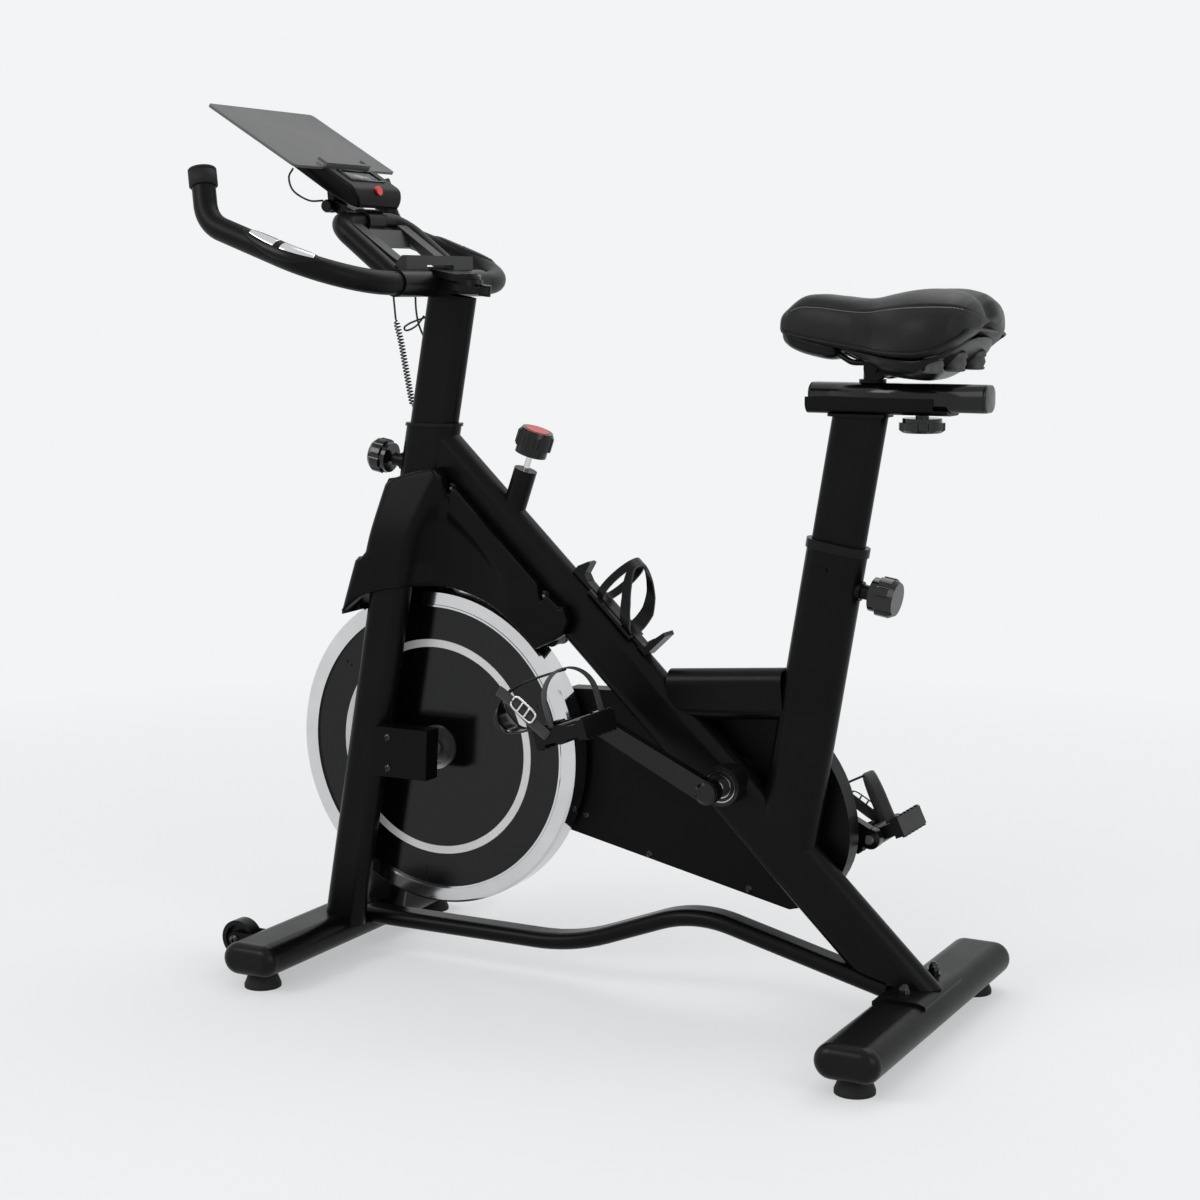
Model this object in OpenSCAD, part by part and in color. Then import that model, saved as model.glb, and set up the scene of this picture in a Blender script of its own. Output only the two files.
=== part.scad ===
// Upright indoor exercise bike with a belt-driven flywheel.
// Millimetres. +X points to the back of the bike, -Y to the rider's left, +Z up, floor at Z = 0.

/* [Base] */
// Distance from the middle of the bike forward to the front stabiliser
stab_front = 401; // [330:1:480]
// Distance from the middle of the bike back to the rear stabiliser
stab_rear = 421; // [350:1:500]
// Length of each stabiliser over its end caps
stab_len = 484; // [400:1:560]
// Width of the flat-oval stabiliser tube
stab_w = 80; // [60:1:100]
// Height of the flat-oval stabiliser tube
stab_h = 42; // [34:1:50]
// Height of the rubber feet
foot_h = 20; // [12:1:30]
// Distance from the middle plane to each foot
foot_y = 205; // [160:1:215]

/* [Frame] */
// Lean of the head tube and the fork, degrees
head_lean = 10.1; // [5:0.1:15]
// Lean of the seat tube, degrees
seat_lean = 9.4; // [5:0.1:15]
// Slope of the main tube, degrees
main_slope = 43.7; // [42:0.1:46]
// Section of the frame tubes seen from the side
tube_w = 76; // [72:1:84]
// Section of the head and seat tubes across the bike
tube_d = 40; // [36:1:46]
// Section of the main tube seen from the side
main_w = 72; // [66:1:76]
// Section of the main tube across the bike
main_d = 38; // [34:1:44]
// Wall of the frame tubes
wall = 2.5; // [2:0.5:4]
// Height of the top of the head tube
head_top = 720; // [700:1:735]
// Height of the top of the seat tube
seat_top = 586; // [560:1:610]
// Section of the two sliding posts along the bike
post_w = 68; // [60:1:68]
// Section of the two sliding posts across the bike
post_d = 30; // [26:1:31]

/* [Flywheel and drive] */
// Radius of the flywheel
wheel_r = 210; // [180:1:215]
// Thickness of the flywheel rim
wheel_t = 38; // [30:1:42]
// Height of the flywheel axle
wheel_z = 296; // [280:1:305]
// Distance from the middle plane to the middle of each fork leg
leg_y = 49; // [46:1:54]
// Height of the crank axle
crank_z = 293; // [280:1:300]
// Length of the cranks
crank_len = 170; // [160:1:175]
// Angle of the left crank above the horizontal, pointing forwards
crank_angle = 25.4; // [0:0.1:60]
// Outer radius of the big pulley on the crank axle
big_pulley_r = 88; // [76:1:90]
// Outer radius of the small pulley on the flywheel
small_pulley_r = 28; // [24:1:34]

/* [Handlebar and saddle] */
// Height of the rear bar of the handlebar
bar_z = 905; // [880:1:925]
// Radius of the handlebar tube
bar_r = 15; // [13:0.5:16]
// Distance from the middle plane to the side bars
bar_y = 214; // [190:1:230]
// Width of the media panel
panel_w = 230; // [200:1:260]
// Length of the media panel
panel_len = 158; // [130:1:190]
// Width of the saddle at the back
saddle_w = 196; // [170:1:210]

/* [Hidden] */
$fn = 64;
run_gap = 0.06;               // radial clearance of turning fits
slide_gap = 0.2;              // clearance round the sliding posts

stab_z = foot_h + stab_h / 2;
stab_top = foot_h + stab_h;
cap_len = 18;                 // end cap standing past the stabiliser tube
tube_len = stab_len - 2 * cap_len;
bolt_y = 51;                  // bolts through the rear base plate
plate_t = 4;

head_x = -387.6;              // where the head tube's axis meets the floor
seat_x = 210.3;               // where the seat tube's axis meets the floor
main_x = 467.3;               // where the main tube's axis meets the floor
collar_h = 11;
lip_h = 4;                    // thickness of the lip on the head tube
collar_w = tube_w + 4;
collar_d = tube_d + 4;

wheel_x = -251.5;
crank_x = 175;
leg_w = 58;
leg_d = 30;
leg_low = 48;
crown_low = 532;
crown_high = 556;
boss_r = 15;                // sleeve round the brake rod
boss_low = 360;               // distances from the flywheel axle along the brake rod
boss_high = 394;
rod_r = 4;

pin_r = 5;
head_pin = 676;               // distances along the tubes to the pull pins
seat_pin = 554;

brace_w = 41;
brace_d = 22;
brace_pts = [[-372, 0, 51], [-50, 0, 52.7], [126, 0, 120.5], [396, 0, 55]];

belt_y = 42;                  // middle plane of the belt, on the rider's right
belt_w = 12;
belt_t = 4;
guard_in = 24;                // faces of the belt guard
guard_out = 53.5;
guard_t = 2.5;
step_r = 203;                 // recess in the guard beside the flywheel
axle_r = 6;
axle_plate_y = 54;
axle_plate_t = 6;
shell_r = 25;
shell_left = 42;
shell_right = 30;
spindle_r = 8.5;
crank_in = 66;                // inner face of each crank boss
crank_t = 18;
pedal_y = 90;                 // inner end of each pedal
pedal_len = 80;
pedal_w = 72;
pedal_h = 24;
left_tilt = 17;               // how far each pedal is turned on its spindle
right_tilt = 25;
left_pedal = [crank_x - crank_len * cos(crank_angle), crank_z + crank_len * sin(crank_angle)];
right_pedal = [crank_x + crank_len * cos(crank_angle), crank_z - crank_len * sin(crank_angle)];

channel_z = 751.5;            // underside of the channel that carries the saddle slide
channel_x0 = 273;
channel_x1 = 449;
slide_h = 32.5;
slide_w = 40;
slide_x0 = 277;
slide_x1 = 490;
knob_x = 411;
saddle_x = 349;               // clamp post under the saddle
nose_x = 231;

bar_x = -250;
bar_bend = 100;
horn_x = -457;
horn_z = 978;
horn_end = [-474, 197, 1044];
panel_low = [-390.5, 0, 1052.7];
panel_tilt = 31;
panel_t = 3.6;
front_end = panel_low[0] - panel_len * cos(panel_tilt) - panel_t * sin(panel_tilt);
rear_end = slide_x1 + 3;

// ---------------------------------------------------------------- shared shapes

// moves a finished piece so that the whole bike is centred on X = 0
module placed() {
    translate([-(front_end + rear_end) / 2, 0, 0]) children();
}

// flat oval, w along X and d along Y
module oval(w, d) {
    square([w - d, d], center = true);
    for (s = [-1, 1]) translate([s * (w - d) / 2, 0]) circle(d = d);
}

// wall of a flat-oval tube
module oval_ring(w, d, t) {
    difference() {
        oval(w, d);
        oval(w - 2 * t, d - 2 * t);
    }
}

// rectangle with round corners
module round_rect(w, h, r) {
    square([w - 2 * r, h], center = true);
    square([w, h - 2 * r], center = true);
    for (x = [-1, 1], y = [-1, 1]) translate([x * (w / 2 - r), y * (h / 2 - r)]) circle(r = r);
}

module ring(r_out, r_in) {
    difference() {
        circle(r = r_out);
        circle(r = r_in);
    }
}

// two circles joined by their outer tangents, as round a pair of pulleys
module looped(a, ra, b, rb) {
    d = b - a;
    dir = atan2(d[1], d[0]);
    side = acos((ra - rb) / norm(d));
    translate(a) circle(r = ra);
    translate(b) circle(r = rb);
    polygon([for (t = [dir + side, dir - side]) a + ra * [cos(t), sin(t)],
             for (t = [dir - side, dir + side]) b + rb * [cos(t), sin(t)]]);
}

function unit(v) = v / norm(v);
function bend_angle(a, b, c) = acos(unit(b - a) * unit(c - b));
function bend_cut(a, b, c, r) = r * tan(bend_angle(a, b, c) / 2);
function arc(c, r, a0, a1, n = 12) = [for (i = [0 : n]) c + r * [cos(a0 + (a1 - a0) * i / n), sin(a0 + (a1 - a0) * i / n)]];

// children stand on point a with their Z axis towards point b
module aim(a, b) {
    d = b - a;
    translate(a) rotate([0, acos(d[2] / norm(d)), atan2(d[1], d[0])]) children();
}

// a section carried along straight runs joined by bends; one radius for each inner corner;
// the bends are a hair fatter than the runs, which end 1 mm inside them
module bent(pts, radii, swell = 1.003) {
    last = len(pts) - 1;
    for (i = [0 : last - 1]) {
        u = unit(pts[i + 1] - pts[i]);
        cut_a = i == 0 ? 0 : bend_cut(pts[i - 1], pts[i], pts[i + 1], radii[i - 1]) - 1;
        cut_b = i == last - 1 ? 0 : bend_cut(pts[i], pts[i + 1], pts[i + 2], radii[i]) - 1;
        aim(pts[i] + u * cut_a, pts[i + 1])
            linear_extrude(norm(pts[i + 1] - pts[i]) - cut_a - cut_b) children();
    }
    for (i = [1 : last - 1]) {
        u = unit(pts[i] - pts[i - 1]);
        v = unit(pts[i + 1] - pts[i]);
        phi = bend_angle(pts[i - 1], pts[i], pts[i + 1]);
        n = (v - u * cos(phi)) / sin(phi);
        w = cross(-n, u);
        c = pts[i] - u * bend_cut(pts[i - 1], pts[i], pts[i + 1], radii[i - 1]) + n * radii[i - 1];
        multmatrix([
            [-n[0], u[0], w[0], c[0]],
            [-n[1], u[1], w[1], c[1]],
            [-n[2], u[2], w[2], c[2]],
            [0, 0, 0, 1]
        ]) rotate_extrude(angle = phi) translate([radii[i - 1], 0]) scale(swell) children();
    }
}

// children are drawn on the left and mirrored to the right
module both_sides() {
    children();
    mirror([0, 1, 0]) children();
}

// local Z runs up the head tube, measured from the floor along the tube
module on_head(t = 0) {
    translate([head_x, 0, 0]) rotate([0, head_lean, 0]) translate([0, 0, t]) children();
}

module on_seat(t = 0) {
    translate([seat_x, 0, 0]) rotate([0, seat_lean, 0]) translate([0, 0, t]) children();
}

// local Z runs up the main tube
module on_main(t = 0) {
    translate([main_x, 0, 0]) rotate([0, main_slope - 90, 0]) translate([0, 0, t]) children();
}

// local Z points away from the flywheel axle along the brake rod
module on_brake(t = 0) {
    translate([wheel_x, 0, wheel_z]) rotate([0, brake_lean, 0]) translate([0, 0, t]) children();
}

// local XY is the side view, with local Z pointing to the rider's right
module side_view(y = 0) {
    translate([0, y, 0]) rotate([90, 0, 0]) mirror([0, 0, 1]) children();
}

brake_lean = atan2(-121.5 - wheel_x, 668 - wheel_z);

function up_head(z) = z / cos(head_lean);
function up_seat(z) = z / cos(seat_lean);
function up_main(z) = z / sin(main_slope);

// round-headed screw with a hex socket, head towards +Z
module screw_head(r, h) {
    difference() {
        union() {
            cylinder(r = r, h = h * 0.4);
            translate([0, 0, h * 0.4]) cylinder(r1 = r, r2 = r * 0.6, h = h * 0.6);
        }
        translate([0, 0, h * 0.5]) cylinder(r = r * 0.4, h = h, $fn = 6);
    }
}

// fluted knob with its face towards +Z
module fluted_knob(r, h, flutes) {
    difference() {
        union() {
            cylinder(r = r * 0.86, h = h * 0.8);
            translate([0, 0, h * 0.3]) cylinder(r = r, h = h * 0.5);
            translate([0, 0, h * 0.8]) cylinder(r1 = r, r2 = r * 0.84, h = h * 0.2);
        }
        for (i = [0 : flutes - 1]) rotate([0, 0, i * 360 / flutes])
            translate([r * 1.13, 0, -1]) cylinder(r = r * 0.24, h = h + 2);
    }
}

// ---------------------------------------------------------------- base

module stab_solid(x) {
    side_view(-tube_len / 2) translate([x, stab_z]) linear_extrude(tube_len) oval(stab_w, stab_h);
}

module stabiliser(x) {
    difference() {
        side_view(-tube_len / 2) translate([x, stab_z]) linear_extrude(tube_len) oval_ring(stab_w, stab_h, wall);
        for (s = [-1, 1]) translate([x, s * foot_y, foot_h - 1]) cylinder(r = 5, h = stab_h / 2);
    }
}

module front_stabiliser() {
    placed() color("black") stabiliser(-stab_front);
}

module rear_stabiliser() {
    placed() color("black") difference() {
        stabiliser(stab_rear);
        for (s = [-1, 1]) translate([stab_rear, s * bolt_y, stab_z]) cylinder(r = 4.5, h = stab_h);
    }
}

// edge of an end cap, rounded over at its outer rim
module cap_profile(r) {
    round = 14;
    square([r, cap_len - round]);
    square([r - round, cap_len]);
    intersection() {
        translate([r - round, cap_len - round]) circle(r = round);
        square([r, cap_len]);
    }
}

module stabiliser_caps() {
    half = (stab_w - stab_h) / 2;
    r = stab_h / 2;
    placed() color([0.1, 0.1, 0.1]) for (x = [-stab_front, stab_rear]) both_sides()
        translate([x, -tube_len / 2, stab_z]) rotate([90, 0, 0]) {
            for (s = [-1, 1]) translate([s * half, 0, 0]) rotate_extrude() cap_profile(r);
            rotate([90, 0, 90]) translate([0, 0, -half]) linear_extrude(2 * half) {
                cap_profile(r);
                mirror([1, 0]) cap_profile(r);
            }
            translate([0, 0, -14]) linear_extrude(14.5) oval(stab_w - 2 * wall - 0.4, stab_h - 2 * wall - 0.4);
        }
}

module rubber_feet() {
    placed() color([0.05, 0.05, 0.05]) for (x = [-stab_front, stab_rear], s = [-1, 1])
        translate([x, s * foot_y, 0]) {
            cylinder(r = 24, h = 4);
            translate([0, 0, 4]) cylinder(r1 = 24, r2 = 17.5, h = foot_h - 4);
            cylinder(r = 4.9, h = foot_h + 10);
        }
}

// curved plate welded under the main tube, hugging the rear stabiliser
module base_plate() {
    placed() color("black") difference() {
        intersection() {
            side_view(-65) translate([stab_rear, stab_z]) linear_extrude(130)
                oval_ring(stab_w + 2 * plate_t, stab_h + 2 * plate_t, plate_t - 0.05);
            translate([stab_rear - 35, -65, stab_z + 12]) cube([67, 130, 40]);
        }
        for (s = [-1, 1]) translate([stab_rear, s * bolt_y, stab_z]) cylinder(r = 4.5, h = stab_h);
    }
}

// carriage bolts with dome nuts through the base plate
module dome_nuts() {
    z = stab_top + plate_t + 0.1;
    for (s = [-1, 1]) translate([stab_rear, s * bolt_y, z]) {
        cylinder(r = 9, h = 2);
        translate([0, 0, 2]) cylinder(r = 7.5, h = 8, $fn = 6);
        translate([0, 0, 9]) cylinder(r1 = 6.6, r2 = 5, h = 5);
        translate([0, 0, 13.5]) cylinder(r1 = 5, r2 = 2.5, h = 3);
        translate([0, 0, -20]) cylinder(r = 4, h = 21);
    }
}

module wheel_place() {
    both_sides() translate([-stab_front - 68, -158, 43]) children();
}

// forked arms that hold the transport wheels in front of the stabiliser
module wheel_brackets() {
    placed() color([0.15, 0.15, 0.15]) difference() {
        wheel_place() {
            for (y = [-16, 13]) translate([0, y, 0]) rotate([-90, 0, 0]) linear_extrude(3)
                difference() {
                    union() {
                        circle(r = 11);
                        translate([0, -11]) square([44, 22]);
                    }
                    circle(r = 4.1);
                }
            translate([30, -16, -11]) cube([14, 32, 22]);
        }
        stab_solid(-stab_front);
    }
}

module wheel_bolts() {
    wheel_place() {
        rotate([90, 0, 0]) {
            translate([0, 0, -17]) cylinder(r = 4, h = 34);
            translate([0, 0, 16.1]) screw_head(7, 4);
            translate([0, 0, -20.1]) cylinder(r = 6.5, h = 4, $fn = 6);
        }
    }
}

module transport_wheel() {
    rotate([90, 0, 0]) translate([0, 0, -11]) difference() {
        rotate_extrude() {
            translate([4 + run_gap, 0]) square([7, 22]);
            translate([4 + run_gap, 8]) square([18, 6]);
            translate([19, 1]) square([6, 20]);
        }
    }
}

module transport_wheel_left() {
    placed() color([0.06, 0.06, 0.06]) translate([-stab_front - 68, -158, 43]) transport_wheel();
}

module transport_wheel_right() {
    placed() color([0.06, 0.06, 0.06]) translate([-stab_front - 68, 158, 43]) transport_wheel();
}

// ---------------------------------------------------------------- frame tubes

// everything above a level, near the middle of the bicycle
module above(level) {
    translate([-500, -150, level]) cube([1000, 300, 600]);
}

module head_solid() {
    difference() {
        on_head(up_head(crown_high)) linear_extrude(up_head(head_top + 20 - crown_high)) oval(tube_w, tube_d);
        above(head_top);
    }
}

module main_solid() {
    on_main(up_main(20)) linear_extrude(up_main(680)) oval(main_w, main_d);
}

module seat_solid() {
    on_seat(up_seat(210)) linear_extrude(up_seat(seat_top - 210)) oval(tube_w, tube_d);
}

module head_tube() {
    placed() color("black") difference() {
        on_head(up_head(crown_high)) linear_extrude(up_head(head_top + 20 - crown_high)) oval_ring(tube_w, tube_d, wall);
        above(head_top);
        on_head(head_pin) rotate([0, -90, 0]) cylinder(r = pin_r + 0.5, h = tube_w);
    }
}

// top of the brace's rear run, with a little room for the weld
function brace_top(x) = let (a = brace_pts[2], b = brace_pts[3])
    a[2] + (x - a[0]) * (b[2] - a[2]) / (b[0] - a[0]) + brace_d / 2 * norm(b - a) / (b[0] - a[0]) + 0.5;

// slopes from the head tube to the rear base plate
module main_tube() {
    placed() color("black") difference() {
        on_main(up_main(20)) linear_extrude(up_main(680)) oval_ring(main_w, main_d, wall);
        on_head(400) linear_extrude(500) oval(tube_w, tube_d);
        on_head(400) translate([-278, -50, 0]) cube([300, 100, 500]);
        side_view(-tube_d) linear_extrude(2 * tube_d)
            polygon([[180, -60], [180, brace_top(180)], [386, brace_top(386)], [386, stab_top + plate_t + 0.1], [560, stab_top + plate_t + 0.1], [560, -60]]);
        side_view(-tube_d) translate([crank_x, crank_z]) linear_extrude(2 * tube_d) circle(r = shell_r);
        on_brake(250) cylinder(r = rod_r + 1.5, h = 200);
    }
}

module seat_tube() {
    placed() color("black") difference() {
        on_seat(up_seat(210)) linear_extrude(up_seat(seat_top - 210)) oval_ring(tube_w, tube_d, wall);
        main_solid();
        on_main(100) translate([-150, -50, 0]) cube([170, 100, 500]);
        on_seat(seat_pin) rotate([0, 90, 0]) cylinder(r = pin_r + 0.5, h = tube_w);
        on_seat(seat_pin + 20) rotate([90, 0, 0]) cylinder(r = 3, h = tube_w);
    }
}

module cross_tube() {
    placed() color("black") difference() {
        aim([90, 0, 394.7], [245, 0, 408]) linear_extrude(155) oval_ring(64, 36, wall);
        main_solid();
        seat_solid();
    }
}

// shallow S-shaped tube joining the two stabilisers
module bottom_brace() {
    placed() color("black") difference() {
        bent(brace_pts, [300, 165]) rotate(90) oval_ring(brace_w, brace_d, wall);
        stab_solid(-stab_front);
        stab_solid(stab_rear);
        translate([stab_rear - 35.1, -70, 0]) cube([80, 140, 100]);
    }
}

module fork_leg() {
    difference() {
        translate([0, -leg_y, 0]) on_head(20) linear_extrude(up_head(crown_low) - 20) oval_ring(leg_w, leg_d, wall);
        translate([-600, -100, leg_low - 200]) cube([400, 100, 200]);
        stab_solid(-stab_front);
    }
}

module fork_leg_left() {
    fork_leg();
}

module fork_leg_right() {
    mirror([0, 1, 0]) fork_leg();
}

module fork_crown() {
    on_head(up_head(crown_low)) linear_extrude(up_head(crown_high - crown_low))
        round_rect(leg_w + 6, 2 * leg_y + leg_d + 4, 14);
}

// bearing housing for the crank axle
module bearing_tube() {
    side_view(-shell_left) translate([crank_x, crank_z]) difference() {
        linear_extrude(shell_left + shell_right) ring(shell_r, shell_r - 3);
    }
}

module crank_bearings() {
    for (y = [-shell_left, shell_right - 12])
        side_view(y) translate([crank_x, crank_z]) linear_extrude(12) ring(shell_r - 3, spindle_r + run_gap);
}

// sleeve that guides the brake rod through the main tube
module brake_boss() {
    difference() {
        on_brake(boss_low - 40) difference() {
            cylinder(r = boss_r, h = boss_high - boss_low + 40);
            cylinder(r = rod_r + 0.3, h = 200);
        }
        main_solid();
        on_main(0) translate([-100 - tube_w / 2 + 20, -50, 0]) cube([100, 100, 1100]);
    }
}

module pin_barrel() {
    difference() {
        union() {
            cylinder(r = 12, h = 6);
            cylinder(r = 9, h = 18);
        }
        translate([0, 0, -1]) cylinder(r = pin_r + run_gap, h = 20);
    }
}

// threaded barrels of the two pull pins
module pin_barrels() {
    difference() {
        union() {
            on_head(head_pin) rotate([0, -90, 0]) translate([0, 0, tube_w / 2 - 4]) pin_barrel();
            on_seat(seat_pin) rotate([0, 90, 0]) translate([0, 0, tube_w / 2 - 4]) pin_barrel();
        }
        head_solid();
        seat_solid();
    }
}

// plastic collar that guides a sliding post
module collar() {
    difference() {
        union() {
            linear_extrude(collar_h) oval(collar_w, collar_d);
            translate([0, 0, -28]) linear_extrude(28) oval(tube_w - 2 * wall - 0.1, tube_d - 2 * wall - 0.1);
        }
        translate([0, 0, -40]) linear_extrude(60) oval(post_w + 2 * slide_gap, post_d + 2 * slide_gap);
    }
}

// the head tube is cut level, so its collar is a level lip on a leaning sleeve
module head_collar() {
    difference() {
        union() {
            on_head(up_head(head_top) - 36) linear_extrude(50)
                oval(tube_w - 2 * wall - 0.1, tube_d - 2 * wall - 0.1);
            intersection() {
                on_head(up_head(head_top) - 20) linear_extrude(60) oval(collar_w, collar_d);
                translate([-500, -150, head_top]) cube([1000, 300, lip_h]);
            }
        }
        above(head_top + lip_h);
        on_head(up_head(head_top) - 50) linear_extrude(120) oval(post_w + 2 * slide_gap, post_d + 2 * slide_gap);
    }
}

module seat_collar() {
    on_seat(up_seat(seat_top)) collar();
}

// ---------------------------------------------------------------- flywheel

module on_wheel(y) {
    side_view(y) translate([wheel_x, wheel_z]) children();
}

module flywheel_rim() {
    h = wheel_t / 2;
    placed() color("silver") on_wheel(0) rotate_extrude($fn = 128) polygon([
        [wheel_r - 22, -h], [wheel_r - 19.5, -h], [wheel_r - 19, -h + 1], [wheel_r - 3, -h + 1.6], [wheel_r, -h + 4],
        [wheel_r, h - 4], [wheel_r - 3, h - 1.6], [wheel_r - 19, h - 1], [wheel_r - 19.5, h], [wheel_r - 22, h]
    ]);
}

module flywheel_web() {
    on_wheel(-5) linear_extrude(10) ring(wheel_r - 22, 29, $fn = 128);
}

// glossy covers on both faces
module cover_discs() {
    h = wheel_t / 2 - 3.5;
    for (y = [-h, h - 3]) on_wheel(y) linear_extrude(3) ring(wheel_r - 22.2, 29, $fn = 128);
}

module flywheel_stripes() {
    h = wheel_t / 2 - 3.5;
    for (y = [-h - 0.6, h]) on_wheel(y) linear_extrude(0.6) ring(144, 134, $fn = 128);
}

module flywheel_screws() {
    for (a = [23.8, 143.8, 263.8], r = [167, 175], s = [0, 1])
        mirror([0, s, 0]) on_wheel(-wheel_t / 2 + 3.5) rotate(a) translate([r, 0, -1.2]) cylinder(r = 2.2, h = 1.2);
}

module wheel_hub() {
    on_wheel(-wheel_t / 2) difference() {
        union() {
            cylinder(r = 29, h = wheel_t);
            cylinder(r = 20, h = wheel_t / 2 + belt_y - belt_w / 2 - 1);
        }
        translate([0, 0, -1]) cylinder(r = 14, h = 100);
        translate([0, 0, -1]) cylinder(r = 22, h = 13);
        translate([0, 0, wheel_t / 2 + belt_y - belt_w / 2 - 12]) cylinder(r = 17, h = 30);
    }
}

module flywheel_bearings() {
    {
        on_wheel(-wheel_t / 2 + 3) linear_extrude(9) ring(22, axle_r + run_gap);
        on_wheel(belt_y - belt_w / 2 - 11) linear_extrude(8) ring(17, axle_r + run_gap);
    }
}

module small_pulley() {
    on_wheel(belt_y - belt_w / 2 - 1) difference() {
        rotate_extrude() union() {
            translate([axle_r + 4, 0]) square([small_pulley_r - axle_r - 4, belt_w + 2]);
            translate([small_pulley_r - 4, 0]) square([6, 0.9]);
            translate([small_pulley_r - 4, belt_w + 1.1]) square([6, 0.9]);
        }
    }
}

// fixed bolt that carries the flywheel, with its nuts and spacers
module flywheel_axle() {
    reach = axle_plate_y + axle_plate_t + 14;
    placed() color([0.4, 0.4, 0.4]) {
        on_wheel(-reach) cylinder(r = axle_r, h = 2 * reach);
        for (s = [0, 1]) mirror([0, s, 0]) {
            on_wheel(-axle_plate_y - axle_plate_t - 10) cylinder(r = 11, h = 9.9, $fn = 6);
            on_wheel(-axle_plate_y + 0.1) cylinder(r = 10, h = s == 0 ? axle_plate_y - wheel_t / 2 - 2 : 3);
        }
    }
}

// steel plates behind the fork legs that hold the flywheel axle
module axle_plates() {
    difference() {
        both_sides() side_view(-axle_plate_y - axle_plate_t) linear_extrude(axle_plate_t) difference() {
            translate([-322, wheel_z - 27]) square([90, 54]);
            translate([wheel_x, wheel_z]) circle(r = axle_r + 0.1);
            for (z = [-20.5, 20.5]) translate([-287, wheel_z + z]) circle(r = 2.6);
        }
        both_sides() translate([0, -leg_y, 0]) on_head(100) linear_extrude(400) oval(leg_w, leg_d);
    }
}

module cover_outline(inset) {
    polygon([[-317 + inset, wheel_z - 32 + inset], [-229 - inset, wheel_z - 32 + inset],
             [-226 - inset, wheel_z + 34 - inset], [-308 + inset, wheel_z + 34 - inset]]);
}

// moulded covers over the axle ends
module axle_covers() {
    placed() color([0.1, 0.1, 0.1]) difference() {
        both_sides() side_view(-78) difference() {
            linear_extrude(28) cover_outline(0);
            translate([0, 0, 2.5]) linear_extrude(40) cover_outline(2.5);
        }
        both_sides() for (z = [-20.5, 20.5]) side_view(-90) translate([-287, wheel_z + z]) cylinder(r = 2.6, h = 40);
        both_sides() translate([0, -leg_y, 0]) on_head(100) linear_extrude(400) oval(leg_w + 0.4, leg_d + 0.4);
    }
}

module cover_screws() {
    both_sides() for (z = [-20.5, 20.5])
        side_view(-78.1) translate([-287, wheel_z + z]) mirror([0, 0, 1]) {
            screw_head(4.5, 2);
            mirror([0, 0, 1]) cylinder(r = 2.5, h = 24);
        }
}

// ---------------------------------------------------------------- drive

module crank_spindle() {
    half = crank_in + crank_t;
    side_view(-half + 3) translate([crank_x, crank_z]) cylinder(r = spindle_r, h = 2 * half - 6);
}

module crank_arm() {
    end = [-crank_len, 0];
    difference() {
        union() {
            translate([0, 0, -crank_t]) cylinder(r = 15, h = crank_t);
            translate([0, 0, -crank_t]) linear_extrude(14) looped([0, 0], 14, end, 11.5);
            translate([end[0], 0, -crank_t]) cylinder(r = 13, h = 14);
        }
        translate([0, 0, -crank_t - 1]) cylinder(r = spindle_r, h = 40);
        translate([end[0], 0, -crank_t - 1]) cylinder(r = 6.2, h = 40);
    }
}

module crank_left() {
    side_view(-crank_in) translate([crank_x, crank_z]) rotate(-crank_angle) crank_arm();
}

module crank_right() {
    mirror([0, 1, 0]) side_view(-crank_in) translate([crank_x, crank_z])
        rotate(180 - crank_angle) crank_arm();
}

module crank_caps() {
    for (s = [0, 1]) mirror([0, s, 0]) side_view(-crank_in - crank_t)
        translate([crank_x, crank_z]) mirror([0, 0, 1]) {
            cylinder(r = 13.5, h = 2);
            translate([0, 0, 2]) cylinder(r1 = 13.5, r2 = 10, h = 2.5);
        }
}

module pedal_spindles() {
    for (s = [[left_pedal, 0], [right_pedal, 1]]) mirror([0, s[1], 0])
        side_view(-pedal_y - pedal_len + 4) translate(s[0]) {
            cylinder(r = 6, h = pedal_len + crank_t + 2);
            translate([0, 0, pedal_len - 4]) cylinder(r = 8.5, h = 5.5, $fn = 6);
        }
}

module crank_pulley() {
    placed() color([0.12, 0.12, 0.12]) side_view(belt_y - belt_w / 2) translate([crank_x, crank_z]) difference() {
        union() {
            linear_extrude(belt_w) ring(big_pulley_r, big_pulley_r - 8, $fn = 128);
            translate([0, 0, 4]) linear_extrude(4) ring(big_pulley_r - 6, spindle_r, $fn = 128);
            linear_extrude(belt_w + 8) ring(18, spindle_r);
        }
        for (i = [0 : 5]) rotate(i * 60) translate([52, 0, -1]) cylinder(r = 15, h = 30);
    }
}

module drive_belt() {
    a = [wheel_x, wheel_z];
    b = [crank_x, crank_z];
    placed() color([0.03, 0.03, 0.03]) side_view(belt_y - belt_w / 2) linear_extrude(belt_w) difference() {
        looped(a, small_pulley_r + belt_t, b, big_pulley_r + belt_t, $fn = 96);
        looped(a, small_pulley_r + 0.05, b, big_pulley_r + 0.05, $fn = 96);
    }
}

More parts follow.
